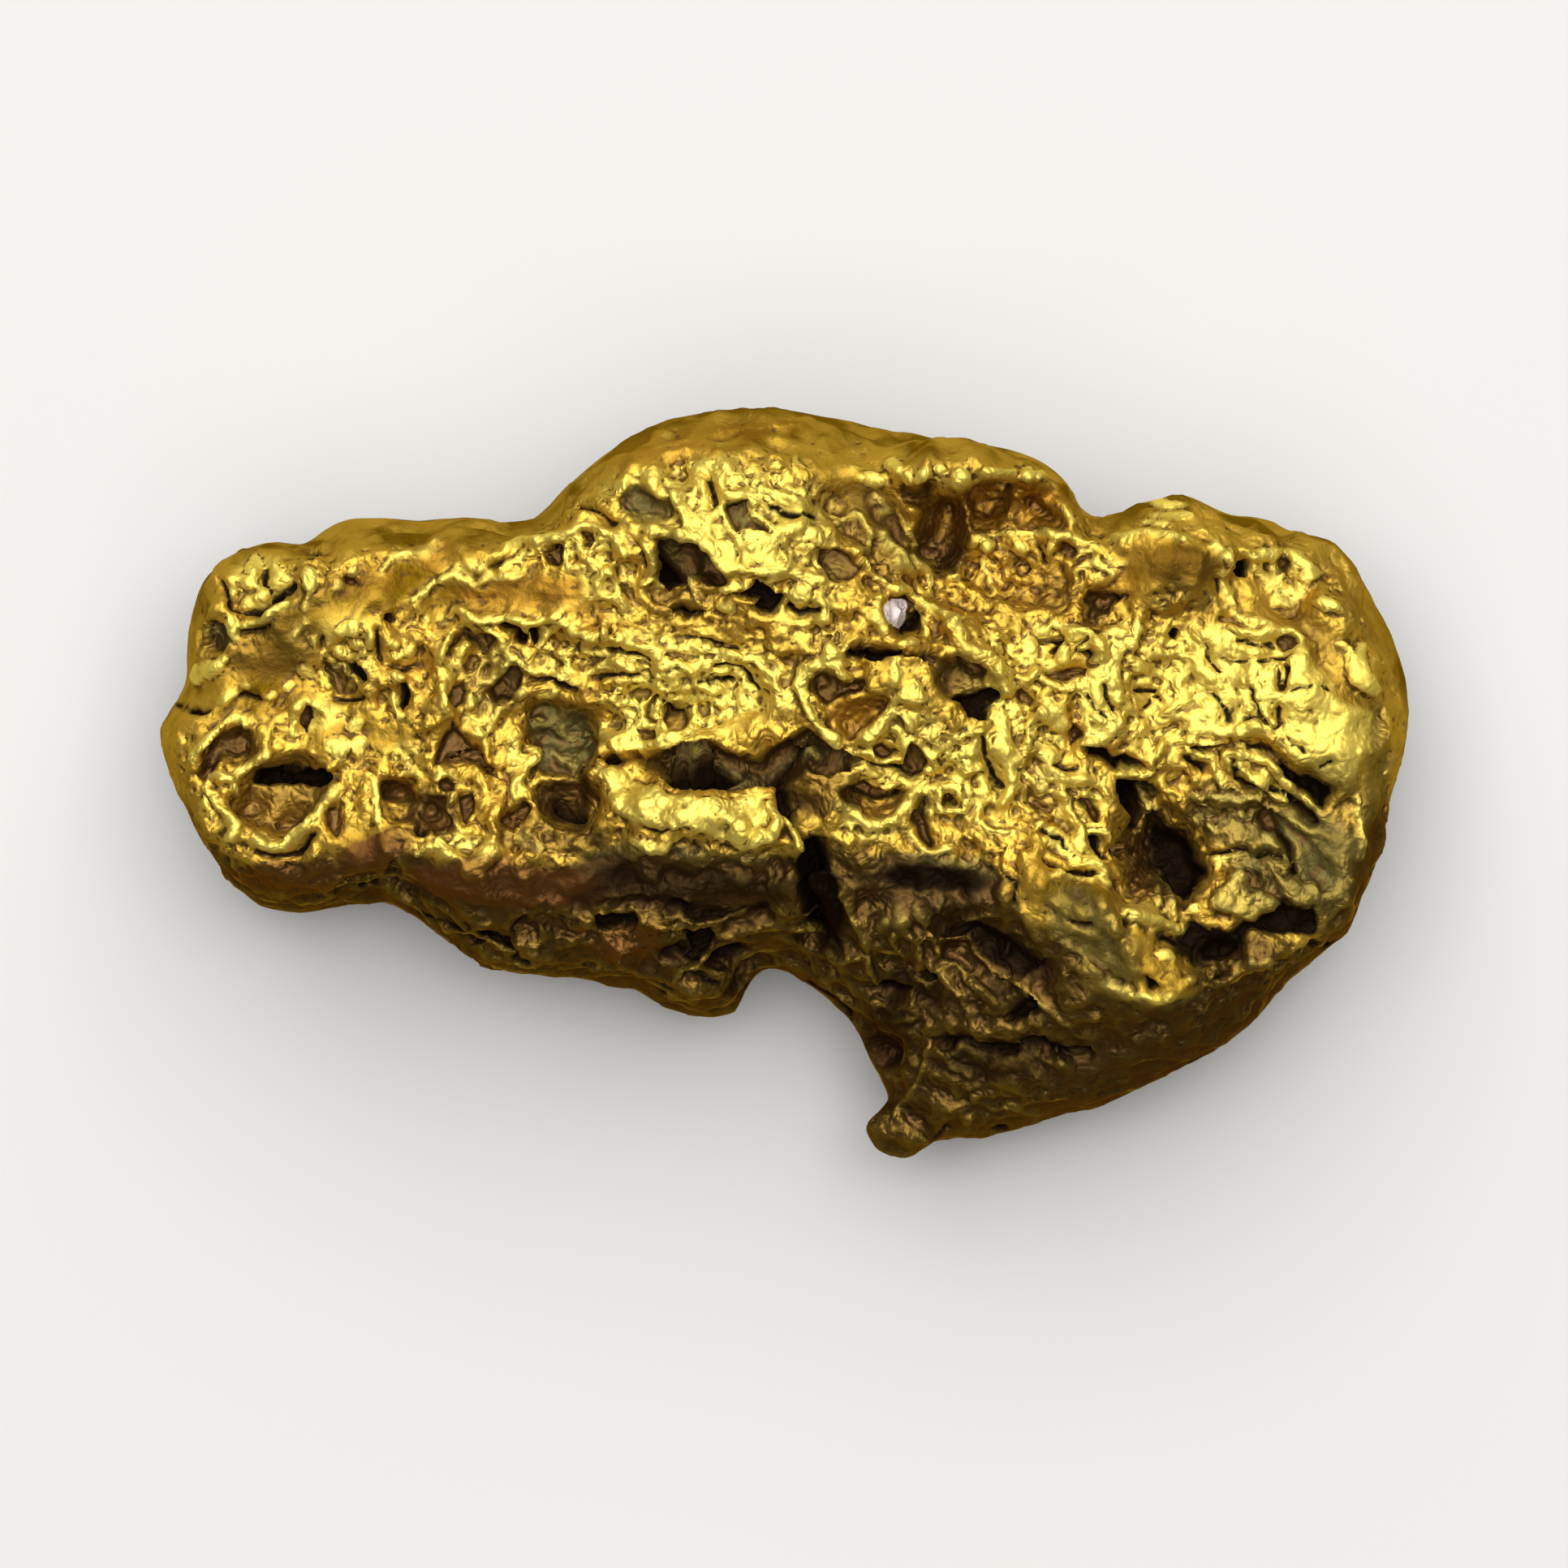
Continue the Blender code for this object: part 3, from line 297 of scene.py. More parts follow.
    (0.30, 0.15, "olive", 1.00, ((11.65, -0.85), (12.0, -0.78), (12.12, -1.05), (11.95, -1.27), (11.78, -1.1))),
    (0.35, 0.10, "black", 1.00, ((12.3, -1.98), (12.6, -2.03), (12.72, -2.15), (12.4, -2.22))),
    (0.40, 0.20, "black", 1.00, (
        (12.2, -2.75), (12.35, -2.95), (13.0, -3.0), (13.1, -3.3), (13.1, -3.6), (12.7, -3.7),
        (12.2, -3.6), (11.6, -3.7), (11.2, -3.9), (11.0, -3.7), (11.3, -3.4), (11.8, -3.25), (12.1, -3.0))),
    (0.50, 0.15, "black", 1.00, (
        (10.5, -4.5), (10.7, -4.32), (10.95, -4.4), (11.0, -4.65), (10.8, -4.85), (10.55, -4.75))),
    (0.35, 0.20, "black", 1.00, (
        (9.9, -3.3), (10.3, -3.5), (10.8, -3.7), (11.2, -3.7), (11.2, -4.1), (10.9, -4.3), (10.4, -4.2),
        (10.0, -4.0), (9.6, -3.9), (9.1, -3.8), (9.1, -3.6), (9.6, -3.7))),
    (0.50, 0.15, "black", 1.00, (
        (7.3, 1.0), (7.6, 0.95), (7.9, 0.8), (8.1, 0.6), (8.4, 0.65), (8.7, 0.55), (8.8, 0.4), (8.5, 0.25),
        (8.2, 0.2), (8.0, 0.3), (7.8, 0.55), (7.5, 0.65), (7.35, 0.8))),
    (0.70, 0.15, "black", 1.00, (
        (8.2, 0.0), (8.6, 0.0), (8.9, -0.1), (9.3, -0.2), (9.7, -0.35), (9.7, -0.45), (9.3, -0.4),
        (9.0, -0.5), (8.75, -0.5), (8.7, -0.7), (8.65, -1.0), (8.55, -1.15), (8.4, -1.0), (8.3, -0.6),
        (8.2, -0.3))),
    (0.90, 0.35, "black", 1.00, (
        (9.1, -0.9), (9.4, -1.0), (9.7, -1.2), (10.0, -1.6), (10.3, -1.9), (10.4, -2.2), (10.2, -2.4),
        (9.9, -2.7), (9.75, -3.0), (9.6, -2.9), (9.5, -2.5), (9.2, -2.1), (9.0, -1.8), (8.9, -1.3))),
    (0.30, 0.12, "brown", 0.95, ((8.05, -1.4), (8.2, -1.3), (8.35, -1.4), (8.25, -1.6), (8.08, -1.55))),
    (0.30, 0.12, "black", 1.00, (
        (7.4, -1.2), (7.6, -1.2), (7.75, -1.5), (8.0, -1.65), (8.0, -1.77), (7.6, -1.62), (7.38, -1.5))),
    (0.30, 0.12, "olive", 1.00, ((7.3, -0.33), (7.7, -0.33), (7.92, -0.6), (7.7, -0.82), (7.5, -0.57))),
    (0.30, 0.12, "brown", 0.95, ((8.3, -3.2), (8.5, -3.05), (8.67, -3.3), (8.57, -3.6), (8.35, -3.4))),
    (0.35, 0.12, "black", 1.00, ((8.83, -4.55), (9.0, -4.68), (9.22, -4.95), (9.05, -5.07), (8.83, -4.9))),
    (0.40, 0.15, "black", 1.00, ((-10.3, -2.3), (-10.0, -2.22), (-9.93, -2.5), (-10.1, -2.67), (-10.37, -2.6))),
    (0.25, 0.12, "brown", 0.95, ((-9.6, -1.88), (-9.3, -1.98), (-9.3, -2.22), (-9.6, -2.27), (-9.77, -2.1))),
    (0.40, 0.12, "black", 1.00, (
        (-7.9, -3.48), (-7.6, -3.68), (-7.4, -3.63), (-7.1, -3.63), (-6.83, -3.68), (-6.73, -4.1),
        (-6.47, -4.4), (-6.2, -4.65), (-6.5, -4.57), (-6.8, -4.25), (-7.0, -4.12), (-7.15, -3.92),
        (-7.4, -3.92), (-7.67, -3.87))),
    (0.35, 0.15, "black", 1.00, (
        (-4.7, -3.2), (-4.3, -3.1), (-3.9, -3.25), (-3.6, -3.1), (-3.5, -3.35), (-3.7, -3.55),
        (-4.1, -3.5), (-4.6, -3.6))),
    (0.45, 0.15, "black", 1.00, (
        (-2.8, -3.43), (-2.5, -3.5), (-2.3, -3.75), (-2.0, -3.97), (-1.6, -3.97), (-1.63, -3.7),
        (-1.9, -3.5), (-2.2, -3.38), (-2.5, -3.28))),
    (0.30, 0.12, "black", 1.00, ((-3.17, -4.9), (-2.95, -4.83), (-2.73, -5.05), (-3.0, -5.17))),
    (0.35, 0.12, "black", 1.00, ((3.38, -4.6), (3.6, -4.48), (3.92, -4.6), (3.8, -4.82), (3.55, -4.87))),
    (0.40, 0.15, "black", 1.00, (
        (5.73, -5.4), (6.0, -5.15), (6.22, -5.45), (6.17, -5.62), (5.95, -5.52), (5.8, -5.82),
        (5.5, -5.97), (5.28, -5.9))),
    (0.30, 0.20, "red", 0.80, (
        (2.1, -6.2), (2.5, -6.1), (2.9, -6.2), (2.95, -6.8), (2.7, -7.1), (2.2, -7.0), (2.1, -6.6))),
    (0.25, 0.10, "black", 1.00, ((5.2, -8.55), (5.5, -8.48), (5.62, -8.65), (5.3, -8.68))),
)

# Raised plates with crisp edges: height, width of the edge, strength of the highlight painted on them, and their
# outline.
PLATES = (
    (0.30, 0.12, 1.0, (
        (0.45, 3.05), (0.9, 3.3), (1.1, 3.6), (1.3, 3.65), (1.45, 3.3), (1.6, 2.8), (1.7, 2.6), (1.5, 2.6),
        (1.3, 2.85), (1.1, 2.85), (0.85, 2.8), (0.65, 2.6), (0.55, 2.3), (0.55, 2.1), (0.75, 1.9),
        (1.0, 1.5), (1.3, 1.1), (1.5, 0.9), (1.3, 0.75), (1.0, 1.05), (0.8, 1.4), (0.6, 1.75),
        (0.3, 2.05), (0.25, 2.5))),
    (0.15, 0.20, 0.9, (
        (-4.6, 0.3), (-3.9, 0.25), (-3.0, 0.0), (-2.1, -0.3), (-1.5, -0.4), (-0.8, -0.3), (-0.2, -0.6),
        (0.0, -0.9), (-0.3, -1.3), (-0.9, -1.5), (-1.6, -1.3), (-2.2, -1.1), (-3.0, -1.0), (-3.8, -0.8),
        (-4.2, -0.4))),
    (0.15, 0.20, 1.0, (
        (7.0, 3.8), (7.6, 3.7), (7.8, 3.8), (8.5, 3.8), (8.7, 3.4), (8.3, 3.1), (8.25, 2.5), (8.4, 2.2),
        (8.2, 2.0), (8.25, 1.6), (8.15, 1.2), (7.95, 0.9), (7.5, 0.95), (7.2, 1.0), (7.3, 1.5),
        (7.1, 2.1), (7.3, 2.5), (7.5, 2.9), (7.5, 3.3), (7.0, 3.5))),
    (0.15, 0.15, 0.9, (
        (11.3, 5.8), (12.0, 5.8), (12.6, 5.8), (13.1, 5.5), (13.3, 5.2), (13.0, 4.9), (12.7, 4.6),
        (12.4, 4.35), (12.0, 4.5), (11.8, 4.9), (11.5, 5.2), (11.4, 5.5))),
    (0.30, 0.15, 1.0, (
        (13.55, 3.4), (13.7, 3.3), (13.85, 3.1), (13.9, 2.8), (13.95, 2.5), (14.3, 2.2), (14.55, 2.1),
        (14.7, 2.3), (14.6, 2.6), (14.4, 2.8), (14.3, 3.0), (14.25, 3.3), (14.1, 3.35), (14.0, 3.1),
        (13.8, 3.4))),
    (0.25, 0.12, 0.9, ((13.0, 4.4), (13.25, 4.57), (13.5, 4.45), (13.72, 4.15), (13.5, 4.15), (13.2, 4.25))),
    (0.10, 0.35, 0.80, (
        (9.9, 3.9), (10.6, 3.8), (11.5, 4.1), (12.3, 3.9), (12.7, 3.3), (13.3, 2.7), (13.7, 2.0),
        (14.5, 1.8), (14.3, 0.9), (13.9, 0.2), (13.3, 0.1), (12.9, 0.4), (12.4, 0.8), (12.0, 1.2),
        (11.0, 1.2), (9.9, 1.05), (9.8, 1.6), (10.1, 2.3))),
    (0.25, 0.20, 0.45, (
        (10.4, -2.8), (10.8, -2.5), (11.2, -2.2), (11.8, -2.6), (12.2, -2.9), (12.0, -3.1), (11.6, -3.3),
        (11.2, -3.35), (10.8, -3.2), (10.5, -3.1))),
    (0.15, 0.15, 0.15, (
        (12.1, -2.3), (12.5, -2.2), (13.0, -2.3), (13.1, -2.6), (12.9, -2.95), (12.5, -2.95), (12.2, -2.7))),
    (0.20, 0.15, 0.8, (
        (1.6, 1.05), (2.0, 1.3), (2.4, 1.7), (2.7, 2.1), (3.1, 2.6), (3.4, 2.5), (3.5, 2.0), (3.2, 1.9),
        (2.9, 2.0), (2.6, 1.6), (2.2, 1.1), (1.9, 0.95))),
)

# How far the small grains stand up.
GRAIN_HEIGHT = 0.17

# Small grains standing up, their tops painted as highlights: x, y, half length, half width, turn.
GRAINS = (
    (-10.9, 0.9, 0.25, 0.22, 0), (-10.4, 0.95, 0.2, 0.2, 0), (-10.6, 1.4, 0.2, 0.18, 0),
    (-9.6, -2.45, 0.2, 0.17, 0), (-12.95, 5.3, 0.2, 0.2, 0), (-13.1, 5.0, 0.15, 0.15, 0),
    (-12.4, 5.0, 0.22, 0.32, 0), (-13.0, 4.5, 0.22, 0.2, 0), (-12.65, 4.7, 0.12, 0.12, 0),
    (-13.5, 4.7, 0.16, 0.14, 0), (-14.1, 3.7, 0.13, 0.12, 0), (-13.47, 3.82, 0.17, 0.33, 0),
    (-14.4, 2.75, 0.26, 0.24, 0), (-13.95, 2.85, 0.24, 0.22, 0), (-13.75, 3.05, 0.14, 0.14, 0),
    (-11.5, 5.0, 0.18, 0.28, 0), (-10.6, 5.28, 0.15, 0.13, 0), (-10.9, 4.8, 0.12, 0.12, 0),
    (-11.5, 3.45, 0.12, 0.12, 0), (-10.55, 3.75, 0.24, 0.19, 0), (-10.4, 3.4, 0.15, 0.13, 0),
    (-10.0, 3.5, 0.1, 0.24, 0), (-10.15, 3.15, 0.12, 0.12, 0), (-10.7, 3.15, 0.15, 0.13, 0),
    (-10.9, 2.85, 0.09, 0.17, 0), (-10.65, 2.72, 0.09, 0.17, 0), (-11.1, 2.55, 0.09, 0.17, 0),
    (-10.7, 2.42, 0.17, 0.09, 0), (-9.5, 2.67, 0.15, 0.13, 0), (-11.7, 2.8, 0.2, 0.18, 0),
    (-12.1, 2.42, 0.15, 0.13, 0), (-12.55, 2.2, 0.11, 0.1, 0), (-13.2, 2.4, 0.13, 0.11, 0),
    (-9.5, 3.5, 0.13, 0.13, 0), (-9.2, 3.35, 0.13, 0.13, 0), (-9.45, 3.2, 0.12, 0.12, 0),
    (-5.3, 1.35, 0.11, 0.11, 0), (-4.75, 1.2, 0.11, 0.11, 0), (-6.55, -1.35, 0.13, 0.12, 0),
    (-6.3, -1.28, 0.12, 0.12, 0), (-6.05, -1.45, 0.13, 0.12, 0), (-8.3, -1.35, 0.16, 0.13, 0),
    (-7.5, 1.38, 0.16, 0.14, 0), (-7.7, 2.05, 0.13, 0.12, 0), (-1.8, 0.5, 0.13, 0.1, 0),
    (-2.6, -1.35, 0.12, 0.1, 0), (-1.75, -0.9, 0.14, 0.12, 0), (-1.1, -1.1, 0.28, 0.25, 0),
    (-2.7, 2.08, 0.12, 0.12, 0), (1.05, 2.3, 0.12, 0.11, 0), (3.05, 3.47, 0.25, 0.12, 0),
    (1.95, 0.77, 0.15, 0.13, 0), (-7.3, 5.32, 0.12, 0.11, 0), (-5.45, 3.25, 0.13, 0.12, 0),
    (-5.8, 3.4, 0.13, 0.12, 0), (-5.4, 2.72, 0.19, 0.17, 0), (-6.3, 2.28, 0.17, 0.16, 0),
    (-6.5, 5.5, 0.25, 0.15, 0), (0.42, 7.85, 0.2, 0.09, -60), (-0.3, 7.75, 0.16, 0.1, 0),
    (-1.5, 8.35, 0.18, 0.08, 0), (-2.85, 8.6, 0.18, 0.08, 0), (-0.9, 6.45, 0.1, 0.1, 0),
    (-1.3, 4.72, 0.18, 0.15, 0), (-0.9, 4.82, 0.13, 0.12, 0), (-1.35, 4.25, 0.18, 0.15, 0),
    (0.3, 4.62, 0.3, 0.26, 0), (1.0, 4.12, 0.2, 0.18, 0), (3.35, 7.62, 0.3, 0.15, 25),
    (3.9, 7.72, 0.16, 0.14, 0), (4.4, 7.42, 0.22, 0.32, 0), (6.0, 7.52, 0.15, 0.27, 0),
    (6.3, 7.52, 0.14, 0.13, 0), (2.7, 7.87, 0.2, 0.17, 0), (2.1, 7.47, 0.3, 0.19, 0),
    (1.75, 7.82, 0.16, 0.09, 0), (5.1, 5.8, 0.2, 0.18, 0), (5.8, 5.75, 0.18, 0.17, 0),
    (6.6, 5.8, 0.11, 0.2, 0), (7.5, 4.3, 0.15, 0.14, 0), (7.7, 4.1, 0.13, 0.1, 0),
    (7.1, 3.78, 0.25, 0.16, 0), (7.28, 3.3, 0.15, 0.14, 0), (8.1, 3.7, 0.2, 0.2, 0),
    (8.32, 3.78, 0.18, 0.17, 0), (8.65, 3.72, 0.12, 0.27, 0), (8.5, 3.4, 0.2, 0.17, 0),
    (8.8, 2.95, 0.18, 0.17, 0), (6.6, 3.95, 0.16, 0.13, 0), (6.87, 3.75, 0.14, 0.24, 20),
    (6.3, 3.75, 0.19, 0.16, 0), (6.1, 3.35, 0.19, 0.27, 0), (6.85, 3.2, 0.15, 0.23, 0),
    (6.2, 2.75, 0.16, 0.14, 0), (7.15, 2.4, 0.2, 0.15, 0), (6.6, 1.7, 0.3, 0.45, 0),
    (6.4, 0.7, 0.3, 0.2, 0), (7.6, 3.05, 0.14, 0.13, 0), (8.15, 5.47, 0.24, 0.11, 0),
    (7.97, 5.62, 0.1, 0.1, 0), (7.75, 5.1, 0.12, 0.11, 0), (10.85, 5.6, 0.12, 0.2, 0),
    (9.5, 6.9, 0.4, 0.14, 0), (9.6, 6.6, 0.5, 0.12, 0), (9.2, 6.4, 0.3, 0.12, 0),
    (12.85, 5.1, 0.2, 0.16, 0), (11.8, 5.62, 0.33, 0.18, 0), (12.2, 5.15, 0.1, 0.2, 0),
    (12.5, 5.1, 0.09, 0.16, 0), (12.25, 4.5, 0.25, 0.09, -20), (11.45, 5.25, 0.1, 0.1, 0),
    (12.75, 0.12, 0.16, 0.08, -40), (10.25, -0.35, 0.13, 0.11, 0), (10.45, -0.6, 0.18, 0.08, -10),
    (11.3, -0.72, 0.25, 0.1, -20), (10.5, -0.95, 0.1, 0.2, 20), (11.9, -1.35, 0.2, 0.22, 0),
    (10.7, -1.85, 0.3, 0.15, 0), (11.3, -2.35, 0.2, 0.17, 0), (10.6, -2.6, 0.14, 0.11, 0),
    (11.9, -4.4, 0.16, 0.13, 0), (11.5, -4.3, 0.13, 0.12, 0), (10.4, -4.9, 0.2, 0.09, -20),
    (9.9, -4.7, 0.17, 0.1, -15), (14.05, -2.35, 0.12, 0.12, 0),
    (7.4, 1.12, 0.22, 0.11, 0), (7.5, 0.75, 0.12, 0.1, 0), (8.85, -0.65, 0.13, 0.15, 0),
    (8.5, -1.45, 0.09, 0.13, 0), (8.45, -1.8, 0.16, 0.13, 0), (8.4, -2.2, 0.1, 0.1, 0),
    (8.7, -2.3, 0.11, 0.1, 0), (8.95, -2.35, 0.16, 0.12, 0), (9.15, -2.2, 0.1, 0.1, 0),
    (9.95, -3.1, 0.19, 0.14, 0), (9.5, -3.2, 0.11, 0.1, 0), (9.35, -4.1, 0.2, 0.12, -40),
    (7.55, -1.6, 0.13, 0.07, 0), (9.15, -1.75, 0.11, 0.1, 0), (-3.0, -2.45, 0.13, 0.11, 0),
    (-2.5, -2.3, 0.13, 0.11, 0), (-1.6, -2.45, 0.2, 0.1, -25), (-2.3, -2.85, 0.13, 0.11, 0),
    (0.3, -2.45, 0.35, 0.28, 0), (-3.2, -1.45, 0.38, 0.14, 0), (-0.9, -1.37, 0.35, 0.16, 0),
    (-5.55, -3.85, 0.12, 0.07, 20), (-2.0, -3.65, 0.07, 0.14, 0), (1.4, -2.42, 0.13, 0.12, 0),
    (2.12, -3.55, 0.13, 0.12, 0), (2.5, -3.58, 0.24, 0.12, 50), (3.05, -3.47, 0.2, 0.14, 0),
    (3.5, -3.27, 0.28, 0.19, -15), (3.8, -2.97, 0.09, 0.19, -20), (4.6, -3.27, 0.2, 0.1, 0),
    (6.1, -4.02, 0.16, 0.09, -15), (4.2, -6.8, 0.11, 0.1, 0), (5.15, -6.9, 0.11, 0.09, 0),
    (4.72, -7.8, 0.13, 0.13, 0), (4.3, -7.65, 0.16, 0.13, 0), (6.48, -7.65, 0.1, 0.16, 20),
    (6.25, -7.95, 0.13, 0.11, 0), (5.55, -7.9, 0.13, 0.11, 0), (5.6, -7.3, 0.11, 0.1, 0),
    (2.7, -7.27, 0.2, 0.1, -20), (3.25, -8.35, 0.22, 0.08, -45),
)
